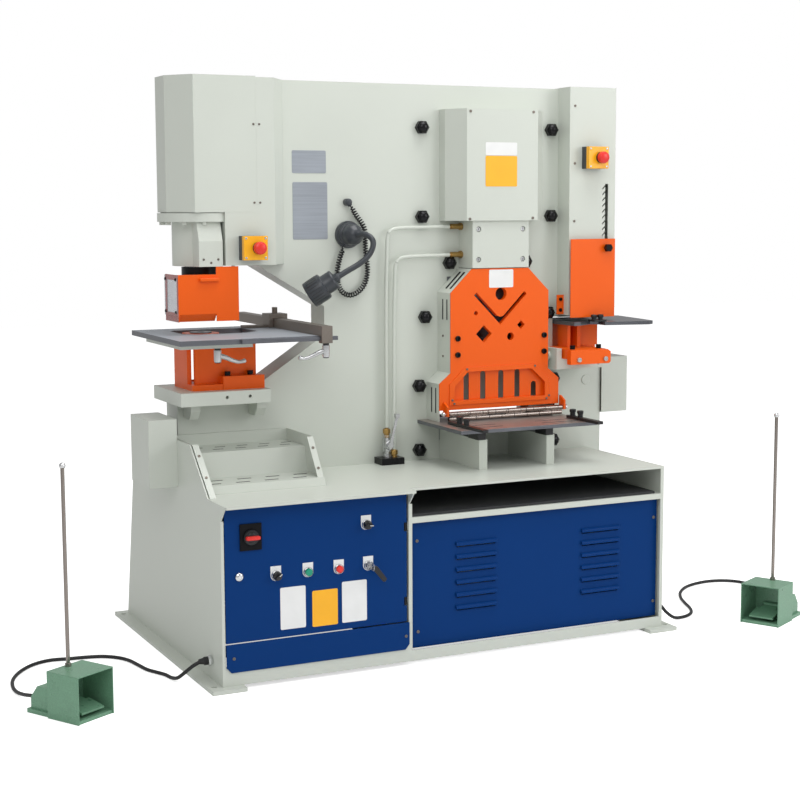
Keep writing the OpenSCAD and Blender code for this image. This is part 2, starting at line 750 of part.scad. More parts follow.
module shear_guard() color("orangered") {
    difference() {
        union() {
            along_y(-guard_d, -guard_d + 4) translate([shear_x, 0]) polygon(guard_outline(0));
            along_y(-guard_d - 3, -guard_d + eps) translate([shear_x, 0]) difference() {
                polygon([[-192, 738], [-192, 808], [-134, 862], [132, 862], [192, 808], [192, 738]]);
                polygon(win);
            }
        }
        along_y(-guard_d - 5, -guard_d + 5) section_holes(0);
        along_y(-guard_d - 5, -guard_d + 5) translate([shear_x, 0]) polygon(win);
    }
    // thick backing that guides bars into the section holes
    along_y(-guard_d + 4 - eps, -guard_d + 20) difference() {
        blade_window(insert_half, blade_lo + 10, blade_hi - 12, 0);
        section_holes(0);
    }
    // recessed plate with the round-topped slots
    along_y(-guard_d + 14, -guard_d + 17) difference() {
        translate([shear_x, 0]) polygon([[-190, 738], [-190, 806], [-128, 864], [128, 864],
                                         [190, 806], [190, 738]]);
        for (x = [-121, -58, 11, 74, 138]) translate([shear_x + x, 752]) {
            h = x > 100 ? 40 : 84;
            translate([-10, 0]) square([20, h]);
            translate([0, h]) circle(r = 10);
        }
    }
    // spacer frame between the two plates
    along_y(-guard_d + 4 - eps, -guard_d + 14 + eps) translate([shear_x, 0]) difference() {
        polygon([[-190, 738], [-190, 806], [-128, 858], [126, 858], [190, 806], [190, 738]]);
        polygon([[-178, 748], [-178, 801], [-125, 850], [124, 850], [179, 801], [179, 748]]);
    }
    // ears of the flap and its upper row of rollers
    for (x = [flap_x0 - 9, flap_x1 + 2])
        along_x(x, x + 7) polygon([[-guard_d + 4, 750], [-guard_d - 1, 750], [flap_y - 12, 735],
                                   [flap_y - 12, flap_z - 7], [-guard_d + 4, flap_z - 10]]);
    color("silver") {
        bar_x(flap_x0 - 16, flap_x1 + 16, flap_y, flap_z, 5);
        for (i = [0 : rollers - 1]) difference() {
            w = (flap_x1 - flap_x0) / rollers;
            bar_x(flap_x0 + i * w + 4, flap_x0 + (i + 0.5) * w - 1, flap_y, flap_z, flap_r);
            bar_x(flap_x0 + i * w, flap_x0 + (i + 1) * w, flap_y, flap_z, 5 - eps);
        }
    }
}

// Curled flap that hangs from the guard's pin in front of the flat-bar gap
module roller_flap() color("silver") {
    w = (flap_x1 - flap_x0) / rollers;
    low_z = flap_z - 2 * flap_r - 0.5;
    bar_x(flap_x0 + 2, flap_x1 - 2, flap_y, low_z, flap_r - 0.5);
    for (i = [0 : rollers - 1]) difference() {
        union() {
            bar_x(flap_x0 + (i + 0.5) * w, flap_x0 + (i + 1) * w + 1, flap_y, flap_z, flap_r);
            block([flap_x0 + (i + 0.5) * w, flap_y - 3, low_z],
                  [flap_x0 + (i + 1) * w + 1, flap_y + 3, flap_z]);
        }
        bar_x(flap_x0 + i * w, flap_x0 + (i + 2) * w, flap_y, flap_z, 5 + run);
    }
}

// Grey walls between the guard and the frame, with vent slots
vent_w = 9;

module guard_housing() color("gainsboro") {
    difference() {
        union() {
            along_y(-guard_d + 4, 0) translate([shear_x, 0]) difference() {
                polygon(guard_outline(0));
                polygon(guard_outline(3));
                translate([-225, 700]) square([450, 40]);
            }
            // skirts down to the table
            block([shear_x - 229, -guard_d + 4, flat_z + slip], [shear_x - 226, 0, 726]);
            block([shear_x + 226, -guard_d + 30, flat_z + slip], [shear_x + 229, 0, 726]);
        }
        for (y = [-72, -42]) {
            for (z = [[flat_z + 28, flat_z + 112], [1020, 1088]])
                block([shear_x - 240, y, z[0]], [shear_x + 240, y + vent_w, z[1]]);
            along_y(y, y + vent_w) translate([shear_x - 147, 1149]) rotate(45)
                square([76, 30], center = true);
        }
    }
}

flat_l = left + 871;
flat_r = left + 1379;
flat_front = -314;

module shear_table() color("dimgray") difference() {
    along_z(flat_z - flat_t, flat_z) polygon([[flat_l, 0], [flat_l, flat_front], [flat_r, flat_front],
                                              [flat_r, -60], [flat_r - 60, 0]]);
    // slots that the side guides are clamped through
    for (x = [flat_l + 16, flat_r - 180], y = guide_slots)
        block([x, y - 5, flat_z - flat_t - 1], [x + 164, y + 5, flat_z + 1]);
}

guide_slots = [-262, -215];

// One side guide: a bar on the table with two clamping knobs and their bolts
module side_guide(x, y0, y1) color("black") {
    block([x, y0, flat_z + slip], [x + 20, y1, flat_z + 10]);
    for (y = guide_slots) {
        bar_z(flat_z - flat_t, flat_z + 10 + eps, x + 10, y, 4);
        bar_z(flat_z + 10, flat_z + 30, x + 10, y, 9);
    }
}
module side_guide_left() side_guide(flat_l + 36, -390, -150);
module side_guide_right() side_guide(flat_r - 42, -386, -190);

stand_y = -280;
stand_top = flat_z - flat_t - 26;
cheeks = [left + 954, left + 1206];

// Two cheeks with front flanges and clamping pads under the shear table
module shear_stand() {
    for (x = cheeks) {
        color("gainsboro") {
            along_x(x, x + 4) polygon([[stand_y, cab_top], [stand_y, stand_top], [-60, stand_top],
                                       [0, flat_z - flat_t], [0, cab_top]]);
            block([x, stand_y, cab_top], [x + 30, stand_y + 4, stand_top]);
            block([x, stand_y, stand_top - 4], [x + 30, -60, stand_top]);
        }
        color("black") block([x - 8, stand_y - 8, stand_top], [x + 20, stand_y + 60, flat_z - flat_t]);
    }
    color("gainsboro") block([cheeks[0] + 4 - eps, -24, cab_top], [cheeks[1] + eps, -20, stand_top - 6]);
}

beam_l = shear_x - 172;
beam_r = shear_x + 190;
beam_z0 = 706;
beam_z1 = 1190;
arm_lo = 1085;
punch_half = 60;
neck_z = 1258;

// One sliding beam with the section holes, the flat blade and the notching punch
module shear_beam() color("dimgray") {
    union() {
        along_y(gap_y0 + slip, gap_y1 - slip) difference() {
            polygon([[beam_l, beam_z0], [beam_r, beam_z0 + 12], [beam_r, arm_lo],
                     [notch_x - punch_half, arm_lo], [notch_x - punch_half, notch_z + 8],
                     [notch_x + punch_half, notch_z + 8], [notch_x + punch_half, arm_lo],
                     [notch_x + 68, arm_lo], [notch_x + 68, beam_z1], [shear_x + 60, beam_z1],
                     [shear_x + 60, neck_z], [shear_x - 60, neck_z], [shear_x - 60, beam_z1],
                     [beam_l, beam_z1]]);
            blade_window(insert_half, blade_lo + 5, blade_hi - 10, 0);
        }
        // the moving section blade sits in its window of the beam
        along_y(gap_y0 + slip, gap_y1 - slip) difference() {
            blade_window(insert_half, blade_lo + 5, blade_hi - 10, -seat);
            section_holes(1);
        }
    }
    bar_z(neck_z - eps, cyl_z0 + 100, shear_x, mid_y, rod_r);
}

module shear_cylinder() color("gainsboro") difference() {
    bar_z(cyl_z0, cyl_z1 - 4, shear_x, mid_y, cyl_r);
    bar_z(cyl_z0 - 1, cyl_z1 - 40, shear_x, mid_y, rod_r + run);
}

// Plan of the cylinder cover in front of a plate, drawn in by s
module cover_plan(s) {
    polygon([[-180 + s, s > 0 ? 1 : 0], [-180 + s, -42 + s * 0.3], [-134 + s * 0.6, -109 + s],
             [134 - s * 0.6, -109 + s], [190 - s, -42 + s * 0.3], [190 - s, s > 0 ? 1 : 0]]);
}

// Sheet cover over the cylinder and the guide block below it, on both sides
module cylinder_cover() color("gainsboro") for (side = [0, 1])
    translate([shear_x, side * frame_d, 0]) mirror([0, side, 0]) {
        difference() {
            along_z(1346, 1710) cover_plan(0);
            along_z(1349, 1707) cover_plan(3);
        }
        difference() {
            block([-107, -98, 1190], [107, 0, 1346 + eps]);
            for (x = [-84, 84], z = [1218, 1318]) bar_y(-99, -90, x, z, 9);
        }
    }

// ---- notcher ----------------------------------------------------------

col_l = notch_x - 87;
col_r = frame_r + 4;
guard_out = 15;
col_z0 = 1020;
slot_x = notch_x + 63;
slot_z = [1286, 1468];

module column_plan(s) {
    translate([col_l + s, -notch_d + s])
        square([col_r - col_l - 2 * s, frame_d + 2 * notch_d - 2 * s]);
}

module notcher_cover() color("gainsboro") difference() {
    along_z(col_z0, frame_top + 3) column_plan(0);
    along_z(col_z0 - 1, frame_top) column_plan(3);
    block([col_l - 1, 0, col_z0 - 1], [col_l + 4, frame_d, frame_top + 4]);
    along_z(frame_top - 1, frame_top + 4) translate([col_l - 1, -1]) square([5, 1]);
    block([slot_x - 6, -notch_d - 1, slot_z[0] - 160], [slot_x + 6, -notch_d + 4, slot_z[1]]);
    for (i = [0 : 8]) along_y(-notch_d - 1, -notch_d + 4) translate([slot_x, slot_z[0] + i * 20])
        polygon([[-5, 14], [-17, 2], [-17, 8], [-5, 20]]);
}

knob_z = 1250;
module notcher_guard() {
    color("orangered") {
        block([notch_x - 90, -notch_d - guard_out - 3, 1013],
              [notch_x + 88, -notch_d - guard_out, 1281]);
        block([notch_x + 85, -notch_d - guard_out - 3, 1013], [notch_x + 88, -notch_d - 2, 1281]);
    }
    color("black") {
        bar_y(-notch_d - guard_out - eps, -notch_d - slip, slot_x, knob_z, 16);
        bar_y(-notch_d - guard_out - 14, -notch_d - guard_out - 3 + eps, slot_x - 8, knob_z, 9);
        hex_y(-notch_d - guard_out - 24, -notch_d - guard_out - 9, slot_x - 11, knob_z, 14);
    }
}

die_top = notch_z - 12;

module notch_die_block() {
    color("orangered") {
        along_y(-190, -166) polygon([
            [left + 1353, notch_lo + 22], [left + 1506, notch_lo + 22], [left + 1512, notch_lo + 28],
            [left + 1512, notch_lo + 62], [left + 1500, notch_lo + 70], [left + 1353, notch_lo + 70]]);
        block([left + 1372, -167, notch_lo + 36], [left + 1506, 0, notch_lo + 70]);
        difference() {
            union() {
                block([notch_x - 75, -eps, notch_lo + 36], [notch_x + 70, frame_d, notch_lo + 70]);
                for (x = [[left + 1416, left + 1428], [left + 1455, left + 1469]])
                    block([x[0], -65, notch_lo + 70 - eps], [x[1], 0, die_top]);
                block([left + 1416, -14, notch_lo + 70 - eps], [notch_x + 70, 0, die_top]);
                block([notch_x - 75, -eps, notch_lo + 70 - eps], [notch_x + 70, frame_d, die_top]);
            }
            block([notch_x - punch_half - 1, gap_y0 - 1, notch_lo - 1],
                  [notch_x + punch_half + 1, gap_y1 + 1, die_top + 1]);
        }
        block([notch_x - 75, 0, notch_lo], [notch_x + 70, gap_y0 - 1, notch_lo + 36 + eps]);
        block([notch_x - 75, gap_y1 + 1, notch_lo], [notch_x + 70, frame_d, notch_lo + 36 + eps]);
        // bracket of the guard's safety switch beside the cover
        block([col_l - 27, -44, 1023], [col_l, -40, 1090]);
    }
    color("black") {
        for (x = [left + 1384, left + 1488]) bar_z(notch_lo + 70, notch_lo + 84, x, -150, 9);
        for (x = [left + 1385, left + 1490]) bar_y(-196, -190, x, notch_lo + 38, 8);
        for (z = [1038, 1075]) bar_y(-49, -44, col_l - 14, z, 6);
    }
}

// Notching table: a plate with a stepped front edge, a pointed right end and two stops
module notch_table() color("dimgray") {
    difference() {
        along_z(die_top, notch_z) translate([left, 0])
            polygon([[1398, -4], [1400, -134], [1430, -128], [1460, -108], [1489, -94],
                     [1512, -110], [1512, -152], [1665, -191], [1692, -175], [1707, -91],
                     [1732, 100], [1700, 120], [1398, 120]]);
        block([notch_x - punch_half - 1, gap_y0 - 1, die_top - 1],
              [notch_x + punch_half + 1, gap_y1 + 1, notch_z + 1]);
    }
}

// Stop plate on the notching table with its two clamping knobs
module notch_stop() color("black") {
    block([left + 1478, -140, notch_z + slip], [left + 1526, -96, notch_z + 6]);
    for (x = [0, 26]) bar_z(notch_z + 6 - eps, notch_z + 20, left + 1489 + x, -118, 8);
}

// ---- hydraulics on the frame -------------------------------------------

pipe_r = 6;
valve_x = left + 746;

module hydraulic_lines() {
    color("gainsboro") {
        bent_pipe([[left + 1004, -22, 1327], [left + 840, -22, 1325], [left + 784, -22, 1322],
                   [left + 763, -22, 1314], [left + 753, -22, 1296], [left + 750, -22, 1240],
                   [valve_x, -22, 1080], [valve_x, -22, 860], [valve_x, -22, 660]], pipe_r);
        bent_pipe([[left + 1004, -22, 1234], [left + 870, -22, 1231], [left + 812, -22, 1228],
                   [left + 791, -22, 1219], [left + 781, -22, 1200], [left + 778, -22, 1140],
                   [left + 774, -22, 980], [left + 773, -22, 780], [left + 770, -26, 680],
                   [left + 769, -30, 592]], pipe_r);
    }
    color("goldenrod") {
        for (z = [1327, 1234]) {
            bar_x(left + 985, left + 1016, -22, z, 9);
            hex_pipe(left + 1016, z);
        }
        bar_z(640, 664, valve_x, -22, 9);
        bar_z(572, 594, left + 769, -30, 9);
    }
    color("silver") {
        bar_z(572, 640, valve_x - 2, -28, 9);
        bar_z(590, 632, valve_x - 2, -28, 15);
        bar_y(-52, -28, valve_x - 2, 612, 9);
        bar_z(570, 574, valve_x - 2, -28, 12);
    }
    color("black") block([left + 711, -60, cab_top], [left + 793, 0, 570]);
    color("black") bar_z(569, 573, left + 769, -30, 12);
}
module hex_pipe(x, z) {
    translate([x - eps, -22, z]) rotate([0, 90, 0]) cylinder(h = left + 1027 - x + eps, r = 12, $fn = 6);
}

module valve_lever() color("silver") {
    bar_y(-60, -52 - slip, valve_x - 2, 612, 10);
    along_y(-60, -54) polygon([[valve_x - 8, 612], [valve_x + 3, 652], [valve_x + 17, 708],
                               [valve_x + 27, 708], [valve_x + 11, 650], [valve_x + 4, 612]]);
    bar_y(-64, -50, valve_x + 22, 710, 8);
}

// ---- electrics ----------------------------------------------------------

estop_d = 45;
estop_l = [left + 259, -head_d, 1268];
estop_rt = [notch_x + 1, -notch_d, 1556];

module estop_box(p) {
    h = 74;
    difference() {
        union() {
            color("dimgray") block([p.x - estop_w / 2, p.y - 28, p.z - h / 2],
                                   [p.x + estop_w / 2, p.y, p.z + h / 2]);
            color("gold") block([p.x - estop_w / 2, p.y - estop_d, p.z - h / 2],
                                [p.x + estop_w / 2, p.y - 28 + eps, p.z + h / 2]);
        }
        bar_y(p.y - estop_d - 1, p.y - 15, p.x + 8, p.z, 11 + run);
    }
}
module estop_button(p) color("red") {
    bar_y(p.y - estop_d - 24, p.y - 22, p.x + 8, p.z, 11);
    bar_y(p.y - estop_d - 26, p.y - estop_d - 8, p.x + 8, p.z, estop_r);
}
module estop_boxes() {
    estop_box(estop_l);
    estop_box(estop_rt);
}
module estop_button_left() estop_button(estop_l);
module estop_button_right() estop_button(estop_rt);

door_l = left + 12;
door_r = divider_x - door_gap;
door_z0 = 139;
door_z1 = 538;
door_t = 3;
hinge_x = door_r - 2;
hinge_y = -cab_front + 7;
hinge_zs = [190, 420];

// Shafts of the controls that the door carries: x, z and radius
main_at = [left + 91, 448];
mode_at = [left + 168, 327];
start_at = [left + 269, 327];
stop_at = [left + 368, 326];
key_at = [left + 464, 327];
feed_at = [left + 458, 452];
shaft_r = 8;

module electrical_door() {
    color("midnightblue") difference() {
        union() {
            block([door_l, -cab_front, door_z0], [door_r, -cab_front + door_t, door_z1]);
            for (x = [door_l + 4, door_r - 14])
                block([x, -cab_front + door_t - eps, door_z0 + 4], [x + 2, -cab_front + 12, door_z1 - 4]);
        }
        for (c = [main_at, mode_at, start_at, stop_at, key_at, feed_at])
            bar_y(-cab_front - 1, -cab_front + 20, c.x, c.y, shaft_r + run);
        for (z = hinge_zs)
            block([door_r - 9, -cab_front - 1, z - 2], [door_r + 1, -cab_front + 14, z + 25]);
    }
    // knuckles that turn on the cabinet's pins
    color("midnightblue") for (z = hinge_zs) difference() {
        union() {
            bar_z(z + 26, z + 54, hinge_x, hinge_y, 5);
            block([hinge_x - 5, -cab_front + door_t - eps, z + 26], [hinge_x, hinge_y, z + 54]);
        }
        bar_z(z + 20, z + 60, hinge_x, hinge_y, 3 + run);
    }
    // bezels, legend plate of the main switch, and the cam lock
    color("black") difference() {
        block([main_at.x - 33, -cab_front - 6, main_at.y - 39],
              [main_at.x + 33, -cab_front, main_at.y + 39]);
        bar_y(-cab_front - 20, -cab_front + 20, main_at.x, main_at.y, shaft_r + run);
    }
    color("silver") {
        for (c = [mode_at, start_at, stop_at, key_at, feed_at]) difference() {
            bar_y(-cab_front - 4, -cab_front, c.x, c.y, 14);
            bar_y(-cab_front - 20, -cab_front + 20, c.x, c.y, shaft_r + run);
        }
        bar_y(-cab_front - 5, -cab_front + eps, left + 55, 333, 11);
        block([left + 45, -cab_front + door_t - eps, 325], [left + 57, -cab_front + 10, 341]);
    }
}

// Shaft, collar and grip of a rotary switch at c
module rotary(c, grip, collar) {
    bar_y(-cab_front - 8, -cab_front + 14, c.x, c.y, shaft_r);
    bar_y(-cab_front - 6 - collar, -cab_front - 6 - slip, c.x, c.y, 13);
    block([c.x - grip, -cab_front - 22, c.y - 4], [c.x + grip, -cab_front - 5 - collar, c.y + 4]);
}
module main_switch() {
    color("black") {
        bar_y(-cab_front - 8, -cab_front + 30, main_at.x, main_at.y, shaft_r);
        bar_y(-cab_front - 18, -cab_front - 6 - slip, main_at.x, main_at.y, 22);
    }
    color("red") block([main_at.x - 22, -cab_front - 30, main_at.y - 7],
                       [main_at.x + 22, -cab_front - 18, main_at.y + 7]);
}
module mode_selector() color("black") rotary(mode_at, 12, 7);
module feed_selector() color("black") rotary(feed_at, 12, 7);
module key_switch() color("silver") {
    rotary(key_at, 10, 7);
    block([key_at.x - 2, -cab_front - 44, key_at.y - 10],
          [key_at.x + 2, -cab_front - 21, key_at.y + 10]);
}
module push_button(c) {
    bar_y(-cab_front - 14, -cab_front + 14, c.x, c.y, shaft_r);
    bar_y(-cab_front - 15, -cab_front - 10, c.x, c.y, 11);
}
module start_button() color("green") push_button(start_at);
module stop_button() color("red") push_button(stop_at);

// Back plate of the electrical compartment with its rails and devices
module electrical_plate() {
    color("silver") block([left + sheet, -206, 60], [divider_x, -203, 500]);
    color("gray") for (z = [170, 290, 410]) block([left + 60, -214, z], [divider_x - 60, -206, z + 35]);
    color("dimgray") for (i = [0 : 5], z = [150, 270, 390])
        block([left + 80 + i * 74, -280, z], [left + 80 + i * 74 + (z > 300 ? 36 : 60), -214, z + 76]);
}

// Oil tank with its lid, motor and pump in the right-hand compartment
module power_pack() {
    color("gray") {
        block([divider_x + 60, -400, 58], [divider_x + 60 + 420, -60, 330]);
        block([divider_x + 50, -410, 330], [divider_x + 490, -50, 336]);
    }
    color("steelblue") bar_x(divider_x + 560, divider_x + 780, -230, 175, 95);
    color("gray") {
        bar_x(divider_x + 480, divider_x + 560 + eps, -230, 175, 60);
        for (x = [divider_x + 590, divider_x + 720]) block([x, -290, 58], [x + 30, -170, 90]);
    }
}

// ---- work lamp ----------------------------------------------------------

lamp_x = left + 619;
lamp_z = 1308;

module work_lamp() {
    color("dimgray") {
        bar_y(-16, 0, lamp_x, lamp_z, 44);
        bar_y(-30, -15, lamp_x, lamp_z, 39);
        bar_y(-62, -29, lamp_x, lamp_z - 3, 33);
        bar_y(-72, -61, lamp_x, lamp_z - 4, 22);
        bent_pipe([[lamp_x, -64, lamp_z - 4], [lamp_x + 4, -80, lamp_z - 5],
                   [lamp_x + 12, -104, lamp_z - 1], [lamp_x + 24, -128, lamp_z - 11],
                   [lamp_x + 29, -138, lamp_z - 28], [lamp_x + 22, -140, lamp_z - 53],
                   [lamp_x + 4, -138, lamp_z - 77], [lamp_x - 26, -136, lamp_z - 98],
                   [lamp_x - 60, -134, lamp_z - 116], [lamp_x - 90, -132, lamp_z - 133],
                   [lamp_x - 104, -125, lamp_z - 143]], 9.5);
        // head: a collar, a neck and a wide barrel along the gooseneck's last stretch
        translate([lamp_x - 90, -132, lamp_z - 133]) rotate([0, 123, 152]) {
            cylinder(h = 12, r = 15);
            translate([0, 0, 9]) cylinder(h = 42, r = 32);
            translate([0, 0, 50]) cylinder(h = 60, r = 43);
        }
        // outlet of the curly cord on the frame plate, and its inlet at the base
        bar_y(-26, 0, left + 617, 1408, 13);
        bar_z(1266, 1284, left + 596, -12, 7);
    }
}

// Route of the curly cord from its outlet round to the lamp's base, at the front of the plate
lamp_route = [[-140.05, -13, 1397.4], [-136.45, -13, 1392.6], [-132.85, -13, 1387.8],
              [-124, -14, 1372], [-113, -14, 1357], [-102, -14, 1343], [-94.5, -14, 1331],
              [-89.5, -14, 1316], [-88, -14, 1298], [-88, -14, 1276], [-87, -14, 1252],
              [-84, -14, 1226], [-81, -14, 1191], [-86, -14, 1157], [-102, -14, 1130],
              [-130, -14, 1111], [-156, -14, 1111], [-176, -14, 1126], [-187, -14, 1154],
              [-188, -14, 1186], [-183, -14, 1214], [-175, -13, 1238], [-169, -12, 1252],
              [-169, -12, 1259], [-169, -12, 1265.7]];
module lamp_cord() color("black") swept_tube(smooth_route(lamp_route, 2), 9, 10);

// ---- foot switches ------------------------------------------------------

pedal_l = [left - 395, -570];
pedal_l_turn = 30;
pedal_r = [left + 1854, -583];
pedal_r_turn = -62;
hood_t = 3;
hood_d = 120;
base_h = 78;
base_back = 200;
gland_y = -391;
gland_z = 70;
gland_out = 22;
treadle_y = 114;
treadle_z = 38;
treadle_turn = 14;

module place_pedal(at, turn) translate([at.x, at.y, 0]) rotate(turn) children();

// Hood open at the front, base with the switch housing behind it and a carrying pole
module pedal_housing() {
    w = hood_w / 2;
    color("seagreen") {
        difference() {
            block([-w, 0, 0], [w, hood_d, hood_h]);
            block([-w + hood_t, -1, 10], [w - hood_t, hood_d - hood_t, hood_h - hood_t]);
            block([-w + hood_t, -1, -1], [w - hood_t, 4, 11]);
        }
        along_x(-w + 14, w - 14) polygon([[hood_d - eps, 0], [base_back, 0], [base_back, 44],
                                          [base_back - 26, base_h], [hood_d - eps, base_h]]);
        block([-w + 6, hood_d - eps, 0], [w - 6, base_back + 8, 12]);
        for (s = [-1, 1]) block([s < 0 ? -34 : 30, treadle_y - 8, 9], [s < 0 ? -30 : 34, treadle_y - 1, 52]);
        bar_x(-31, 31, treadle_y - 8, treadle_z + 8, 4);
    }
    color("silver") {
        bar_z(hood_h - eps, hood_h + 9, 0, 105, 9);
        bar_z(hood_h, pole_top - 10, 0, 105, 5.5);
        translate([0, 105, pole_top - 8]) sphere(r = 9);
        bar_y(base_back - eps, base_back + 22, 0, 24, 9);
    }
}
module pedal_housings() {
    place_pedal(pedal_l, pedal_l_turn) pedal_housing();
    place_pedal(pedal_r, pedal_r_turn) pedal_housing();
}

// Treadle plate on its pin inside the hood, sloping down to the front
module treadle() color("mediumseagreen") {
    translate([0, treadle_y - 8, treadle_z + 8]) rotate([treadle_turn, 0, 0]) difference() {
        union() {
            block([-42, -96, -3], [42, -36, 3]);
            block([-28, -37, -3], [28, -2, 3]);
            bar_x(-28, 28, 0, 0, 8);
        }
        bar_x(-40, 40, 0, 0, 4 + run);
    }
}
module treadle_left() place_pedal(pedal_l, pedal_l_turn) treadle();
module treadle_right() place_pedal(pedal_r, pedal_r_turn) treadle();

// Routes of the two cords: out of the gland, down to the floor, round to the pedal's back
left_route = [[-787.2, -391, 70], [-793, -391, 70], [-799, -391, 70], [-824, -383, 50],
              [-836, -366, 24], [-842, -340, 6], [-849, -300, 6], [-862, -262, 6], [-884, -236, 6],
              [-906, -190, 6], [-913, -130, 6], [-924, -70, 6], [-946, -25, 6], [-985, 10, 6],
              [-1035, 25, 6], [-1085, 32, 6], [-1135, 42, 6], [-1180, 30, 6], [-1222, -2, 6],
              [-1262, -55, 6], [-1292, -120, 6], [-1306, -190, 6], [-1306, -245, 7],
              [-1298, -300, 14], [-1286, -345, 22], [-1277, -367.6, 24], [-1274, -372.8, 24],
              [-1271.1, -377.6, 24]];
right_route = [[787.2, -391, 70], [793, -391, 70], [799, -391, 70], [824, -398, 50],
               [838, -404, 24], [860, -406, 6], [900, -402, 6], [940, -390, 6], [976, -360, 6],
               [1006, -310, 6], [1030, -250, 6], [1062, -180, 6], [1110, -110, 6],
               [1180, -50, 6], [1260, -20, 6], [1330, -20, 6], [1388, -55, 6], [1412, -120, 6],
               [1404, -190, 6], [1390, -260, 6], [1386, -330, 6], [1384, -390, 8],
               [1358, -430, 16], [1320, -460, 23], [1295.6, -473.4, 24], [1290.3, -476.2, 24],
               [1285.2, -478.7, 24]];
module pedal_cord_left() color("black") swept_tube(smooth_route(left_route, 3), cord_d / 2);
module pedal_cord_right() color("black") swept_tube(smooth_route(right_route, 3), cord_d / 2);

front_frame_plate();
rear_frame_plate();
frame_spacers();
foot_plates();
cabinet_sides();
cabinet_front();
cabinet_sheets();
rubber_mat();
fixed_panels();
tool_rack();
side_boxes();
head_box();
punch_cylinder();
cylinder_hood();
bed_blocks();
tool_steel();
die_support();
punch_table();
shear_guard();
guard_housing();
shear_table();
shear_stand();
shear_cylinder();
cylinder_cover();
notcher_cover();
notch_table();
notch_die_block();
hydraulic_lines();
estop_boxes();
work_lamp();
lamp_cord();
power_pack();
electrical_plate();
pedal_housings();
pedal_cord_left();
pedal_cord_right();
punch_ram();
punch_guard();
shear_beam();
notcher_guard();
roller_flap();
estop_button_left();
estop_button_right();
electrical_door();
main_switch();
mode_selector();
feed_selector();
key_switch();
start_button();
stop_button();
fence();
fence_stop();
clamp_lever_left();
clamp_lever_right();
side_guide_left();
side_guide_right();
notch_stop();
valve_lever();
treadle_left();
treadle_right();
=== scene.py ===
"""Looks of a hydraulic punching machine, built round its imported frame.

The frame's nodes keep their shapes and get finishes here. What is drawn here is what a plain solid
cannot show: cords, the lamp's curly lead, screws, switches, knobs, plates and rollers' seams.
Lengths are metres, +Z is up and -Y is the operator's side.
"""

from __future__ import annotations

import logging
import math
from dataclasses import dataclass
from enum import Enum
from typing import Any, Callable, Sequence, Union

import bmesh
import bpy
import numpy as np
from mathutils import Matrix, Vector


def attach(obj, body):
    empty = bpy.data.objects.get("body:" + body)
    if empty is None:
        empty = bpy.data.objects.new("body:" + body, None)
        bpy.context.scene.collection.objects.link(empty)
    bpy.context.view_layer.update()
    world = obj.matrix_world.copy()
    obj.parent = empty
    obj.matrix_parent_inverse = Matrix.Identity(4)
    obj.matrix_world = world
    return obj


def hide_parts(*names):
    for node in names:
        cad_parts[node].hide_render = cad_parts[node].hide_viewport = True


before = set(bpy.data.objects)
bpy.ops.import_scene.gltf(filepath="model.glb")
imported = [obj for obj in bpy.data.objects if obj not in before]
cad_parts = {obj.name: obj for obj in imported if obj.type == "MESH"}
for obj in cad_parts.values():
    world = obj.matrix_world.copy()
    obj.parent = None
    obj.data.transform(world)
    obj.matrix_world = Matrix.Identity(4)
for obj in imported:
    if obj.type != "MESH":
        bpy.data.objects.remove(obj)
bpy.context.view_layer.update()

LOG = logging.getLogger("punching_machine")
ROOT = "machine"
MM = 0.001
OUT = (0, -1, 0)  # towards the operator
DOOR = "electrical_door"
Number = Union[float, "Sock"]
Point = Sequence[float]
Route = tuple[tuple[float, float, float], ...]
Span = tuple[Union[float, None], Union[float, None]]
OPEN: Span = (None, None)


class Tone(Enum):
    """Colours of the machine's finishes, as they are written in eight bits a channel."""

    GREY = (202, 207, 198)
    BLUE = (8, 54, 114)
    ORANGE = (238, 94, 6)
    TABLE = (112, 114, 120)
    WORN = (156, 146, 140)
    POLE = (150, 142, 136)
    BROWNED = (128, 120, 112)
    BRIGHT = (196, 197, 198)
    CHROME = (222, 223, 224)
    BRASS = (176, 142, 84)
    BLACK = (26, 26, 28)
    RUBBER = (50, 52, 54)
    YELLOW = (250, 180, 24)
    RED = (226, 48, 40)
    GREEN = (20, 146, 116)
    WHITE = (232, 233, 232)
    PLATE = (164, 170, 178)
    LAMP = (54, 58, 63)
    PEDAL = (112, 156, 128)
    MOTOR = (120, 128, 134)


def linear(tone: Tone) -> tuple[float, float, float]:
    """Turns a tone into scene-linear values.

    Args:
        tone: The colour to turn.

    Returns:
        Red, green and blue from 0 to 1.
    """
    c = np.array(tone.value, float) / 255.0
    out = np.where(c <= 0.04045, c / 12.92, ((c + 0.055) / 1.055) ** 2.4)
    return tuple(float(v) for v in out)


# ---- shader kit ---------------------------------------------------------


def operator(operation: str, swapped: bool = False) -> Callable[["Sock", Number], "Sock"]:
    """Makes the method of one operator.

    Args:
        operation: The Math node's operation.
        swapped: Whether the other value comes first, as in a reflected form.

    Returns:
        A method that adds that node.
    """

    def method(self: "Sock", other: Number) -> "Sock":
        """Adds the Math node and returns its output."""
        pair = (other, self) if swapped else (self, other)
        return self.graph.node("Math", {"operation": operation}, dict(enumerate(pair)))

    return method


class Sock:
    """An output socket that maths can be written with."""

    def __init__(self, graph: "Graph", socket: Any) -> None:
        """Keeps the graph and the socket."""
        self.graph = graph
        self.socket = socket

    __add__ = __radd__ = operator("ADD")
    __sub__ = operator("SUBTRACT")
    __rsub__ = operator("SUBTRACT", swapped=True)
    __mul__ = __rmul__ = operator("MULTIPLY")
    __truediv__ = operator("DIVIDE")
    __gt__ = operator("GREATER_THAN")
    __lt__ = operator("LESS_THAN")
    most = operator("MAXIMUM")

    def alone(self, operation: str) -> "Sock":
        """Adds a Math node of one value, such as SINE or FRACT."""
        return self.graph.node("Math", {"operation": operation}, {0: self})


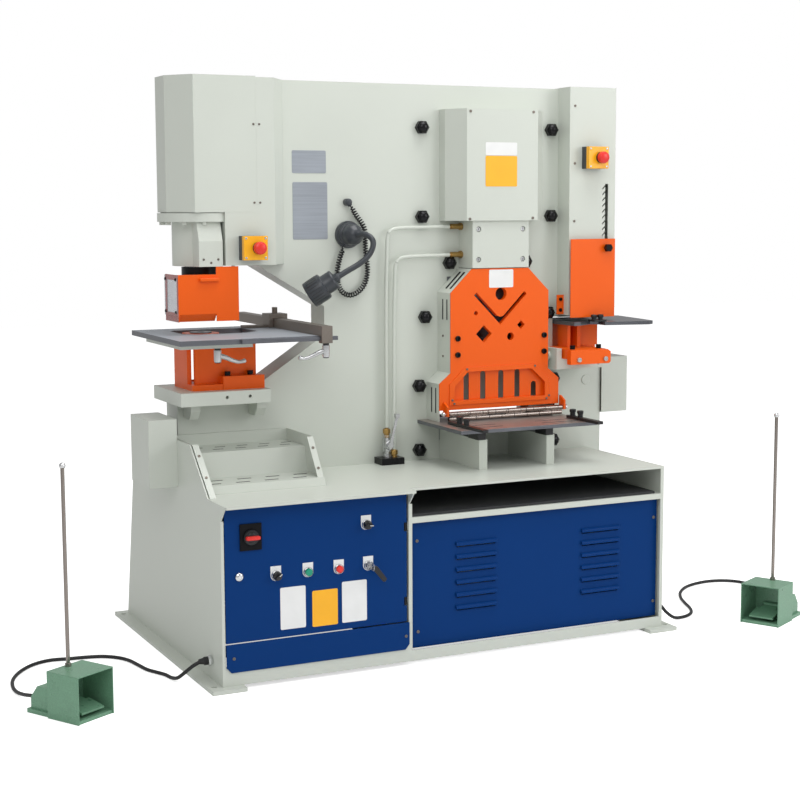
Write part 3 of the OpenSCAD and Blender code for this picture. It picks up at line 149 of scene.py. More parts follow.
class Graph:
    """The node tree of a material or a world."""

    def __init__(self, owner: bpy.types.Material | bpy.types.World) -> None:
        """Empties the owner's node tree."""
        owner.use_nodes = True
        self.owner = owner
        self.tree = owner.node_tree
        self.tree.nodes.clear()
        self._place: Sock | None = None

    def node(
        self, kind: str, settings: dict[str, Any], inputs: dict[Any, Any], output: Any = 0
    ) -> Sock:
        """Makes a node, sets it up and fills its sockets.

        Args:
            kind: The node's type, without the ShaderNode in front.
            settings: Properties, which are set first.
            inputs: Socket name or number to a value or a Sock.
            output: Name or number of the output to return.

        Returns:
            That output.
        """
        made = self.tree.nodes.new(f"ShaderNode{kind}")
        for key, value in settings.items():
            setattr(made, key, value)
        for key, value in inputs.items():
            target = made.inputs[key]
            if isinstance(value, Sock):
                self.tree.links.new(value.socket, target)
            elif isinstance(value, (int, float)):
                target.default_value = value
            else:
                want = len(target.default_value)
                target.default_value = (list(value) + [1.0])[:want]
        return Sock(self, made.outputs[output])

    def finish(self, surface: Sock) -> None:
        """Joins the last shader to the owner's output."""
        kind = "World" if isinstance(self.owner, bpy.types.World) else "Material"
        end = self.tree.nodes.new(f"ShaderNodeOutput{kind}")
        self.tree.links.new(surface.socket, end.inputs["Surface"])

    def place(self) -> Sock:
        """The point on the surface in the object's own space."""
        if self._place is None:
            self._place = self.node("TexCoord", {}, {}, "Object")
        return self._place

    def axis(self, index: int) -> Sock:
        """One coordinate of the point, 0 for x, 1 for y and 2 for z."""
        return self.node("SeparateXYZ", {}, {0: self.place()}, index)

    def noise(self, scale: float, detail: float = 2.0, stretch: Point | None = None) -> Sock:
        """Noise about 0.5 over the surface.

        Args:
            scale: Bumps per metre.
            detail: Octaves.
            stretch: Scale factors along x, y and z, for brushed metal.

        Returns:
            The noise's value.
        """
        where = self.place()
        if stretch is not None:
            where = self.node(
                "Mapping", {"vector_type": "POINT"}, {0: where, "Scale": stretch}
            )
        return self.node(
            "TexNoise", {}, {"Vector": where, "Scale": scale, "Detail": detail}
        )

    def colour(self, tone: Tone, shade: Number = 1.0) -> Sock:
        """A tone times a shade that may vary."""
        values = {0: linear(tone), "Scale": shade}
        return self.node("VectorMath", {"operation": "SCALE"}, values)

    def mix(self, first: Sock, second: Sock, mask: Number) -> Sock:
        """The first colour where the mask is 0 and the second where it is 1."""
        values = {0: mask, 6: first, 7: second}
        return self.node("Mix", {"data_type": "RGBA"}, values, 2)

    def box(self, spans: Sequence[Span]) -> Sock:
        """1 inside the spans of x, y and z in millimetres; None leaves a side open."""
        mask: Number = 1.0
        for index, (low, high) in enumerate(spans):
            if low is not None:
                mask = (self.axis(index) > low * MM) * mask
            if high is not None:
                mask = (self.axis(index) < high * MM) * mask
        return mask


@dataclass
class Look:
    """What a surface shows at a point: colour, roughness, metal, height in metres and alpha."""

    colour: Sock
    rough: Number
    metal: Number
    height: Number = 0.0
    alpha: Number = 1.0
    gloss: float = 0.5

    def over(self, other: "Look", mask: Sock) -> "Look":
        """This look with another laid over it where the mask is 1."""
        graph = self.colour.graph

        def part(first: Number, second: Number) -> Number:
            """Mixes two values, unless they are one number."""
            same = not isinstance(first, Sock) and not isinstance(second, Sock)
            return first if same and first == second else mask * second + (1.0 - mask) * first

        return Look(
            graph.mix(self.colour, other.colour, mask),
            part(self.rough, other.rough),
            part(self.metal, other.metal),
            part(self.height, other.height),
            part(self.alpha, other.alpha),
            self.gloss,
        )


@dataclass(frozen=True)
class Paint:
    """Sprayed or powder-coated paint: fine peel, faint clouds and settled dust."""

    tone: Tone
    rough: float = 0.36
    peel: float = 0.00003
    cloud: float = 0.05
    gloss: float = 0.5

    def look(self, graph: Graph) -> Look:
        """Clouded colour, with roughness that follows the clouds and an orange-peel height."""
        broad = graph.noise(2.6, 4.0)
        fine = graph.noise(260.0, 2.0)
        shade = 1.0 + (broad - 0.5) * self.cloud * 2.0 + (fine - 0.5) * 0.02
        return Look(
            graph.colour(self.tone, shade), (broad - 0.5) * 0.2 + self.rough, 0.0,
            fine * self.peel, gloss=self.gloss,
        )


@dataclass(frozen=True)
class Hammered:
    """Hammer-effect enamel: cells a few millimetres wide in a darker net."""

    tone: Tone
    rough: float = 0.3

    def look(self, graph: Graph) -> Look:
        """Cells from a Voronoi pattern that shade the colour and dent the surface."""
        cells = graph.node(
            "TexVoronoi", {}, {"Vector": graph.place(), "Scale": 240.0}, "Distance"
        )
        broad = graph.noise(14.0, 3.0)
        shade = 0.84 + cells * 0.26 + (broad - 0.5) * 0.2
        return Look(
            graph.colour(self.tone, shade), self.rough + (broad - 0.5) * 0.2, 0.1, cells * -0.0002
        )


@dataclass(frozen=True)
class Steel:
    """Bare metal with grinding marks along one axis and cloudy stains."""

    tone: Tone
    along: int = 0
    rough: float = 0.34
    stain: float = 0.2
    metal: float = 0.9
    marks: float = 0.35

    def look(self, graph: Graph) -> Look:
        """Noise stretched along the grinding direction shades colour, roughness and height."""
        stretch = [320.0, 320.0, 320.0]
        stretch[self.along] = 6.0
        marks = graph.noise(1.0, 3.0, stretch)
        broad = graph.noise(7.0, 4.0)
        shade = 1.0 + (marks - 0.5) * self.marks + (broad - 0.5) * self.stain * 2.0
        return Look(
            graph.colour(self.tone, shade),
            self.rough + (marks - 0.5) * self.marks * 0.8 + (broad - 0.5) * 0.2,
            self.metal,
            marks * 0.00002,
        )


@dataclass(frozen=True)
class Moulded:
    """Moulded plastic or rubber with a fine spark-eroded grain."""

    tone: Tone
    rough: float = 0.42
    grain: float = 0.00003

    def look(self, graph: Graph) -> Look:
        """Fine grain over a nearly even colour."""
        fine = graph.noise(700.0, 2.0)
        broad = graph.noise(20.0, 2.0)
        return Look(
            graph.colour(self.tone, 1.0 + (broad - 0.5) * 0.12),
            self.rough + (fine - 0.5) * 0.15,
            0.0,
            fine * self.grain,
        )


@dataclass(frozen=True)
class RibbedMat:
    """Black rubber mat with fine ribs along the machine's width."""

    pitch: float = 0.006

    def look(self, graph: Graph) -> Look:
        """Height is a sine of the depth coordinate; the grooves are painted darker as shade."""
        ribs = (graph.axis(1) * (2.0 * math.pi / self.pitch)).alone("SINE") * 0.5 + 0.5
        # colour darkens with the ribs' height into the grooves: painted shade
        return Look(graph.colour(Tone.RUBBER, 0.55 + ribs * 0.5), 0.7, 0.0, ribs * 0.0006)


@dataclass(frozen=True)
class ClearSheet:
    """Clear polycarbonate with faint scuffs."""

    alpha: float = 0.42

    def look(self, graph: Graph) -> Look:
        """Scuffs from noise vary the gloss and how much shows through."""
        scuffs = graph.noise(30.0, 3.0)
        return Look(
            graph.colour(Tone.PLATE), scuffs * 0.15 + 0.06, 0.0, 0.0, scuffs * 0.1 + self.alpha
        )


@dataclass(frozen=True)
class Rollers:
    """Polished rollers: two rows with dark seams, staggered by half a pitch."""

    pitch: float = 0.0485
    row: float = 0.703
    gap: float = 0.035

    def look(self, graph: Graph) -> Look:
        """Seams lie where the fraction of x over the pitch, plus half a turn below, is small."""
        bare = Steel(Tone.WORN, 0, 0.2, 0.12, 1.0, 0.15).look(graph)
        turn = graph.axis(0) / self.pitch + (graph.axis(2) < self.row) * 0.5
        seam = turn.alone("FRACT") < self.gap
        dark = Steel(Tone.BLACK, 0, 0.5, 0.1, 0.3).look(graph)
        dark.height = -0.0004
        return bare.over(dark, seam)


Finish = Union[Paint, Hammered, Steel, Moulded, RibbedMat, ClearSheet, Rollers]


@dataclass(frozen=True)
class Zone:
    """A box in millimetres where another finish lies, such as the bolts of a painted node."""

    finish: Finish
    x: Span = OPEN
    y: Span = OPEN
    z: Span = OPEN


class Workshop:
    """Makes each material once and hands it out again."""

    def __init__(self) -> None:
        """Starts with no materials."""
        self._made: dict[Any, bpy.types.Material] = {}

    def material(
        self, name: str, finish: Finish, zones: Sequence[Zone] = (), edge: float = 0.0
    ) -> bpy.types.Material:
        """Builds or finds a material.

        Args:
            name: Its name.
            finish: The finish all over.
            zones: Boxes with other finishes.
            edge: Radius in metres by which sharp edges look rounded.

        Returns:
            The material.
        """
        key = (name, finish, tuple(zones), edge)
        if key in self._made:
            return self._made[key]
        graph = Graph(bpy.data.materials.new(name))
        look = finish.look(graph)
        for zone in zones:
            look = look.over(zone.finish.look(graph), graph.box((zone.x, zone.y, zone.z)))
        bump: dict[Any, Any] = {"Height": look.height, "Distance": 1.0, "Strength": 1.0}
        if edge > 0.0:
            bump["Normal"] = graph.node("Bevel", {"samples": 3}, {"Radius": edge})
        normal = graph.node("Bump", {}, bump)
        graph.finish(graph.node("BsdfPrincipled", {}, {
            "Base Color": look.colour,
            "Roughness": look.rough,
            "Metallic": look.metal,
            "Normal": normal,
            "Alpha": look.alpha,
            "Specular IOR Level": look.gloss,
        }))
        self._made[key] = graph.owner
        return graph.owner


SHOP = Workshop()

GREY = Paint(Tone.GREY)
ORANGE = Paint(Tone.ORANGE, rough=0.34, gloss=0.32)
BLUE = Paint(Tone.BLUE, rough=0.36, cloud=0.08, gloss=0.07)
BRIGHT = Steel(Tone.BRIGHT, rough=0.26, stain=0.08)
BRASS = Steel(Tone.BRASS, rough=0.3)
BLACK = Moulded(Tone.BLACK)
CHROME = Steel(Tone.CHROME, 0, 0.2, 0.05, 1.0, 0.1)
EDGE = 0.0015  # radius by which the sharp edges of folded and welded sheet look rounded


class Stock(Enum):
    """What the drawn pieces are made of: material, finish, the record's slot, and soft edge."""

    CORD = ("cord_sheath", Moulded(Tone.BLACK, rough=0.5), "black_plastic")
    LEAD = ("lead_sheath", Moulded(Tone.BLACK, rough=0.4), "black_plastic")
    GLAND = ("gland_chrome", CHROME, "bright_steel")
    LAMP = ("lamp_black", Moulded(Tone.LAMP, rough=0.32), "dark_paint")
    # painted shade: black bars for the shade in the lamp head's slots
    SLOT_SHADE = ("slot_painted_shade", BLACK, "dark_paint")
    OXIDE = ("cap_nut_oxide", Steel(Tone.BLACK, 2, 0.22, 0.1, 0.6), "paint_grey")
    ZINC_SCREW = ("screw_zinc", Steel(Tone.BROWNED, 0, 0.35, 0.1, 0.8), "paint_grey")
    BRIGHT_SCREW = ("screw_bright", BRIGHT, "bright_steel")
    PIN = ("pin_chrome", CHROME, "chrome_steel")
    ORANGE = ("orange_paint", ORANGE, "paint_orange")
    GREY = ("grey_paint", GREY, "paint_grey", EDGE)
    NAME_PLATE = ("plate_metal", Steel(Tone.PLATE, 0, 0.36, 0.06, 0.75), "bright_steel")
    WHITE = ("plate_white", Moulded(Tone.WHITE, rough=0.4), "paint_grey")
    YELLOW = ("plate_yellow", Moulded(Tone.YELLOW, rough=0.4), "yellow_plastic")
    BEZEL = ("bezel_chrome", CHROME, "bright_steel")
    KNOB = ("knob_black", Moulded(Tone.BLACK, rough=0.3), "black_plastic")
    GRIP = ("grip_red", Moulded(Tone.RED, rough=0.3), "red_plastic")
    START = ("start_button_skin", Moulded(Tone.GREEN, rough=0.25), "green_plastic")
    STOP = ("stop_button_skin", Moulded(Tone.RED, rough=0.25), "red_plastic")
    KEY = ("key_metal", BRIGHT, "bright_steel")
    LEVER = ("lever_metal", Steel(Tone.BRIGHT, 2, 0.28, 0.05, 0.75, 0.06), "bright_steel")
    # painted shade: black sheets that stand for the shade behind vents and under slots
    SHADE_SHEET = ("painted_shade_black", Moulded(Tone.BLACK, rough=0.7), "rubber")
    BRASS_NUT = ("union_brass", BRASS, "bright_steel")
    ZINC_NUT = ("union_zinc", Steel(Tone.BRIGHT, 2, 0.3, 0.1, 0.8), "bright_steel")


# ---- surfaces -------------------------------------------------------------


@dataclass
class Shape:
    """Points and faces of a mesh before it becomes an object."""

    verts: np.ndarray
    faces: list[list[int]]

    def moved(self, by: Point) -> "Shape":
        """The shape shifted by a vector."""
        return Shape(self.verts + np.asarray(by, float), self.faces)

    def turned(self, matrix: np.ndarray) -> "Shape":
        """The shape turned by a 3 by 3 matrix."""
        return Shape(self.verts @ np.asarray(matrix, float).T, self.faces)


def merged(shapes: Sequence[Shape]) -> Shape:
    """All shapes as one."""
    starts = np.cumsum([0] + [len(s.verts) for s in shapes[:-1]])
    faces = [
        [i + int(start) for i in face] for s, start in zip(shapes, starts) for face in s.faces
    ]
    return Shape(np.vstack([s.verts for s in shapes]), faces)


def grid(points: np.ndarray, wrap: bool = True, caps: bool = True) -> Shape:
    """Skins a grid of points with quads.

    Args:
        points: Rows by columns by 3.
        wrap: Whether the last column joins the first.
        caps: Whether the first and last rows are closed with a polygon.

    Returns:
        The skinned shape. Quad (i, j) joins columns j and j + 1 of rows i and i + 1.
    """
    rows, cols = points.shape[:2]
    i, j = np.meshgrid(np.arange(rows - 1), np.arange(cols if wrap else cols - 1), indexing="ij")
    k = (j + 1) % cols
    quads = np.stack([i * cols + j, i * cols + k, (i + 1) * cols + k, (i + 1) * cols + j], -1)
    faces = quads.reshape(-1, 4).tolist()
    if caps and wrap:
        faces.append(list(range(cols - 1, -1, -1)))
        faces.append([(rows - 1) * cols + c for c in range(cols)])
    return Shape(points.reshape(-1, 3), faces)


def unit(rows: np.ndarray) -> np.ndarray:
    """Rows scaled to length 1."""
    return rows / (np.linalg.norm(rows, axis=1)[:, None] + 1e-12)


def basis(direction: Point) -> np.ndarray:
    """Two unit vectors square to a direction, and the direction, as rows."""
    w = np.asarray(direction, float) / np.linalg.norm(direction)
    helper = np.eye(3)[int(np.argmin(np.abs(w)))]
    u = np.cross(helper, w)
    u /= np.linalg.norm(u)
    return np.stack([u, np.cross(w, u), w])


def lathe(
    profile: Sequence[Point], centre: Point, axis: Point = OUT, sides: int = 32
) -> Shape:
    """Turns a profile of (height, radius) in millimetres round an axis.

    Args:
        profile: Heights along the axis and radii there.
        centre: Where height 0 lies, in millimetres.
        axis: The axis's direction.
        sides: Points round; 6 makes a hexagon.

    Returns:
        centre + radius * (cos a * u + sin a * v) + height * w for each angle a.
    """
    p = np.asarray(profile, float)
    u, v, w = basis(axis)
    a = np.arange(sides) * 2 * math.pi / sides
    ring = np.cos(a)[:, None] * u + np.sin(a)[:, None] * v
    points = np.asarray(centre, float) + p[:, 1, None, None] * ring + p[:, 0, None, None] * w
    return grid(points * MM)


def screw(centre: Point, radius: float, height: float, axis: Point = OUT) -> Shape:
    """A socket screw's head: a short cylinder with a hole in its top, in millimetres.

    Args:
        centre: Where the head sits.
        radius: Radius of the head.
        height: Height of the head.
        axis: Direction the head looks in.

    Returns:
        The head, turned round its axis.
    """
    h, r = height, radius
    rings = [(-0.5, r), (h * 0.75, r), (h, r * 0.86), (h, r * 0.52), (h * 0.3, r * 0.5),
             (h * 0.3, 0.05)]
    return lathe(rings, centre, axis, 18)


def dome(centre: Point, axis: Point, radius: float, height: float, start: float = 0.0) -> Shape:
    """Half an ellipsoid on a short cylinder, in millimetres.

    Args:
        centre: Middle of the base.
        axis: Direction of the top.
        radius: Radius of the base.
        height: Height of the half ellipsoid.
        start: Height of the cylinder below it.

    Returns:
        Rings of radius r cos(a) at start + h sin(a).
    """
    a = np.linspace(0, math.pi / 2 * 0.985, 8)
    rings = np.stack([start + height * np.sin(a), radius * np.cos(a)], 1)
    return lathe(np.vstack([[[-0.5, radius]], rings]), centre, axis, 28)


def bar(low: Point, high: Point, radius: float) -> Shape:
    """A box with small rounded edges, in millimetres."""
    return soft_box(low, high, radius, 2)


def catmull(points: Sequence[Point], steps: int) -> np.ndarray:
    """A smooth curve through points.

    Args:
        points: The points it passes.
        steps: Stretches between two points.

    Returns:
        Points on the Catmull-Rom curve: half of 2b + (c - a)t + (2a - 5b + 4c - d)t^2
        + (3b - a - 3c + d)t^3 in each stretch from b to c.
    """
    p = np.asarray(points, float)
    a = np.vstack([p[:1], p[:-2]])[:, None]
    b, c = p[:-1, None], p[1:, None]
    d = np.vstack([p[2:], p[-1:]])[:, None]
    t = (np.arange(steps) / steps)[None, :, None]
    body = 0.5 * (
        2 * b + (c - a) * t + (2 * a - 5 * b + 4 * c - d) * t**2 + (3 * b - a - 3 * c + d) * t**3
    )
    return np.vstack([body.reshape(-1, 3), p[-1:]])


def sweep(
    path: np.ndarray, n: np.ndarray, b: np.ndarray, radius: float | np.ndarray, sides: int
) -> Shape:
    """Carries a circle along a path.

    Args:
        path: Points in millimetres.
        n: A unit vector square to the path at each point.
        b: Another, square to both.
        radius: One radius or one for each point.
        sides: Points round.

    Returns:
        point + radius * (cos a * n + sin a * b) for each angle a.
    """
    r = np.broadcast_to(np.asarray(radius, float), (len(path),))[:, None, None]
    a = (np.arange(sides) * 2 * math.pi / sides)[None, :, None]
    return grid((path[:, None] + r * (np.cos(a) * n[:, None] + np.sin(a) * b[:, None])) * MM)


def tube(path: np.ndarray, radius: float | np.ndarray, sides: int) -> Shape:
    """A round tube along a path that lies close to a plane.

    Args:
        path: Points in millimetres.
        radius: One radius or one for each point.
        sides: Points round.

    Returns:
        A sweep whose n is square to the path and to the normal of the plane that fits it.
    """
    t = unit(np.gradient(path, axis=0))
    flat = np.linalg.svd(path - path.mean(0), full_matrices=True)[2][2]
    n = unit(np.cross(t, flat))
    return sweep(path, n, np.cross(t, n), radius, sides)


def soft_box(low: Point, high: Point, radius: float, steps: int = 3) -> Shape:
    """A box with rounded edges and corners, in millimetres.

    Args:
        low: Lowest corner.
        high: Highest corner.
        radius: Radius of the edges.
        steps: Facets along a quarter of an edge's arc.

    Returns:
        centre + sign(d) * (half - radius) + radius * d for directions d over six cube faces.
    """
    lo, hi = np.asarray(low, float), np.asarray(high, float)
    half, mid = (hi - lo) / 2, (hi + lo) / 2
    r = min(radius, *(half * 0.98))
    turn = np.linspace(1e-6, math.pi / 4, steps)
    t = np.tan(np.concatenate([-turn[::-1], turn]))
    a, b = np.meshgrid(t, t, indexing="ij")
    shapes = []
    for axis in range(3):
        for sign in (-1.0, 1.0):
            d = np.empty(a.shape + (3,))
            d[..., axis] = sign
            d[..., (axis + 1) % 3] = a * sign
            d[..., (axis + 2) % 3] = b
            d /= np.linalg.norm(d, axis=-1)[..., None]
            shapes.append(grid((mid + np.sign(d) * (half - r) + r * d) * MM, wrap=False))
    return merged(shapes)


def prism(
    outline: Sequence[Point], origin: Point, depth: float, bevel: float,
    across: Point = (1, 0, 0), up: Point = (0, 0, 1),
) -> Shape:
    """A plate of any outline with chamfered edges, in millimetres.

    Args:
        outline: Corners (a, b) in the plate's plane, anticlockwise.
        origin: Where (0, 0) of the back face lies.
        depth: Thickness, towards across x up.
        bevel: Width of the chamfer at the front.
        across: Direction of a.
        up: Direction of b.

    Returns:
        origin + a * across + b * up + h * normal, with the front ring drawn in by the bevel.
    """
    p = np.asarray(outline, float)
    x, y = np.asarray(across, float), np.asarray(up, float)
    n = np.cross(x, y)
    mid = p.mean(0)
    reach = np.linalg.norm(p - mid, axis=1)[:, None]
    inner = mid + (p - mid) * np.clip(1 - bevel / reach, 0, 1)
    rings = [(p, 0.0), (p, depth - bevel), (inner, depth)]
    rows = [np.asarray(origin, float) + q[:, :1] * x + q[:, 1:] * y + h * n for q, h in rings]
    return grid(np.stack(rows) * MM)


def linked(name: str, data: bpy.types.ID) -> bpy.types.Object:
    """Makes an object of a mesh, a lamp or a camera and puts it into the scene."""
    made = bpy.data.objects.new(name, data)
    bpy.context.scene.collection.objects.link(made)
    return made


class Assembly:
    """Base of the sub-assemblies: puts shapes into the scene as pieces."""

    def add(
        self, name: str, shapes: Sequence[Shape], stock: Stock, body: str = ROOT,
        replaces: Sequence[str] = (), angle: float = 35.0, slot: str = "",
    ) -> bpy.types.Object:
        """Makes one object of some shapes and has it ride on a body.

        Args:
            name: The piece's name.
            shapes: Its points and faces.
            stock: What it is made of.
            body: The body it rides on.
            replaces: CAD nodes that it stands for.
            angle: Edges sharper than this stay sharp.
            slot: The record's slot, where it isn't the stock's own; not used.

        Returns:
            The object.
        """
        title, finish, own_slot, *edge = stock.value
        shape = merged(shapes)
        mesh = bpy.data.meshes.new(name)
        mesh.from_pydata(shape.verts.tolist(), [], shape.faces)
        work = bmesh.new()
        work.from_mesh(mesh)
        bmesh.ops.remove_doubles(work, verts=work.verts, dist=1e-6)
        bmesh.ops.recalc_face_normals(work, faces=work.faces)
        work.to_mesh(mesh)
        work.free()
        mesh.shade_smooth()
        mesh.set_sharp_from_angle(angle=math.radians(angle))
        mesh.materials.append(SHOP.material(title, finish, (), *edge))
        piece = linked(name, mesh)
        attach(piece, body)
        if replaces:
            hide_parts(*replaces)
        LOG.info("%s: %d points", name, len(mesh.vertices))
        return piece


# ---- studio and cords ----------------------------------------------------


@dataclass
class Studio:
    """Camera, lamps, world and the pale floor."""

    place: Point = (-2.2415, -4.7384, 1.388)
    yaw: float = 25.723
    pitch: float = 6.874
    roll: float = -0.2364
    lens: float = 71.58
    daylight: float = 0.5
    floor_glow: float = 0.62
    floor_size: float = 14.0

    def build(self) -> None:
        """Makes everything that isn't part of the machine."""
        self._camera()
        self._world()
        self._lamps()
        self._floor()

    def _camera(self) -> None:
        """Points the camera along yaw and pitch, with a slight roll."""
        (cy, cp, cr), (sy, sp, sr) = (
            [turn(math.radians(a)) for a in (self.yaw, self.pitch, self.roll)]
            for turn in (math.cos, math.sin)
        )
        ahead = Vector((sy * cp, cy * cp, -sp))
        side = Vector((cy, -sy, 0.0))
        up = side.cross(ahead)
        x, y = side * cr + up * sr, up * cr - side * sr
        data = bpy.data.cameras.new("camera")
        data.sensor_width, data.lens = 36.0, self.lens
        data.clip_start, data.clip_end = 0.05, 60.0
        camera = linked("camera", data)
        axes = Matrix((x, y, -ahead)).transposed().to_4x4()
        camera.matrix_world = Matrix.Translation(self.place) @ axes
        bpy.context.scene.camera = camera

    def _world(self) -> None:
        """A plain pale world: white where it is seen, softer where it lights."""
        world = bpy.data.worlds.new("pale_world")
        bpy.context.scene.world = world
        graph = Graph(world)
        direct = graph.node("LightPath", {}, {}, "Is Camera Ray")
        through = graph.node("LightPath", {}, {}, "Is Transmission Ray")
        seen = {"Value": direct.most(through), "To Min": self.daylight, "To Max": 1.0}
        strength = graph.node("MapRange", {}, seen)
        white = {"Color": (1, 1, 1), "Strength": strength}
        graph.finish(graph.node("Background", {}, white))

    def _lamps(self) -> None:
        """One broad key from the front and left, a fill from the right and a top light."""
        for name, power, size, at, to in (
            ("key", 72.0, 3.2, (-2.6, -4.2, 4.2), (0.0, 0.0, 0.9)),
            ("fill", 62.0, 2.5, (3.4, -3.6, 2.6), (0.3, 0.0, 0.8)),
            ("top", 78.0, 2.4, (0.4, -0.8, 4.4), (0.2, -0.2, 0.6)),
        ):
            data = bpy.data.lights.new(name, "AREA")
            data.energy, data.size = power, size
            lamp = linked(name, data)
            turn = (Vector(to) - Vector(at)).to_track_quat("-Z", "Y").to_matrix().to_4x4()
            lamp.matrix_world = Matrix.Translation(at) @ turn

    def _floor(self) -> None:
        """A large pale floor that keeps the machine's shadow."""
        mesh = bpy.data.meshes.new("floor")
        s = self.floor_size
        corners = [(x, y, -0.0005) for x, y in ((-s, -s), (s, -s), (s, s), (-s, s))]
        mesh.from_pydata(corners, [], [(0, 1, 2, 3)])
        graph = Graph(bpy.data.materials.new("pale_floor"))
        path = graph.node("LightPath", {}, {}, "Is Camera Ray")
        matt = graph.node("BsdfDiffuse", {}, {"Color": (0.94, 0.94, 0.94)})
        light = {"Color": (1, 1, 1), "Strength": self.floor_glow}
        both = graph.node("AddShader", {},
                          {0: matt, 1: graph.node("Emission", {}, light)})
        graph.finish(graph.node("MixShader", {}, {0: path, 1: matt, 2: both}))
        mesh.materials.append(graph.owner)
        linked("floor", mesh)


@dataclass
class SwitchCords(Assembly):
    """The two foot switch cords on the floor and their strain reliefs."""

    diameter: float = 11.0
    left: Route = (
        (-787.2, -391, 70), (-793, -391, 70), (-799, -391, 70), (-822, -386, 58), (-843, -370, 36),
        (-856, -342, 15), (-862, -303, 6), (-870, -264, 6), (-886, -228, 6), (-903, -188, 6),
        (-913, -130, 6), (-924, -70, 6), (-946, -25, 6), (-985, 10, 6), (-1035, 25, 6),
        (-1085, 32, 6), (-1135, 42, 6), (-1180, 30, 6), (-1222, -2, 6), (-1262, -55, 6),
        (-1292, -120, 6), (-1306, -190, 6), (-1306, -245, 7), (-1298, -300, 14), (-1286, -345, 22),
        (-1277, -367.6, 24), (-1274, -372.8, 24), (-1271.1, -377.6, 24),
    )
    right: Route = (
        (787.2, -391, 70), (793, -391, 70), (799, -391, 70), (822, -395, 56), (844, -400, 30),
        (872, -404, 10), (904, -402, 6), (940, -390, 6), (976, -360, 6), (1006, -310, 6),
        (1030, -250, 6), (1062, -180, 6), (1110, -110, 6), (1180, -50, 6), (1260, -20, 6),
        (1330, -20, 6), (1388, -55, 6), (1412, -120, 6), (1404, -190, 6), (1390, -260, 6),
        (1386, -330, 6), (1384, -390, 8), (1358, -430, 16), (1320, -460, 23),
        (1295.6, -473.4, 24), (1290.3, -476.2, 24), (1285.2, -478.7, 24),
    )

    def build(self) -> None:
        for side, route in (("left", self.left), ("right", self.right)):
            path = catmull(route, 6)
            cord = self.add(f"foot_switch_cord_{side}", [tube(path, self.diameter / 2, 14)],
                            Stock.CORD, replaces=(f"pedal_cord_{side}",))
        self._glands()

    def _glands(self) -> None:
        """Chromed nuts at the cabinet and black boots at the cords' four ends."""
        nut = ((0, 15), (2, 16.5), (9, 16.5), (11, 14))
        boot = ((0, 12.4), (11, 12.4), (14, 9.5), (27, 7.6), (27, 6.4), (2, 6.4))
        ends = (
            ((-778, -391, 70), (-1, 0, 0)), ((778, -391, 70), (1, 0, 0)),
            ((-1266.0, -369.0, 24), (-0.5, 0.866, 0)), ((1277.0, -483.2, 24), (0.883, 0.469, 0)),
        )
        nuts = [lathe(nut, (side * 766, -391, 70), (side, 0, 0), 6) for side in (-1, 1)]
        self.add("cord_gland_nuts", nuts, Stock.GLAND, angle=25)
        boots = [lathe(boot, at, axis, 20) for at, axis in ends]
        self.add("cord_boots", boots, Stock.CORD)


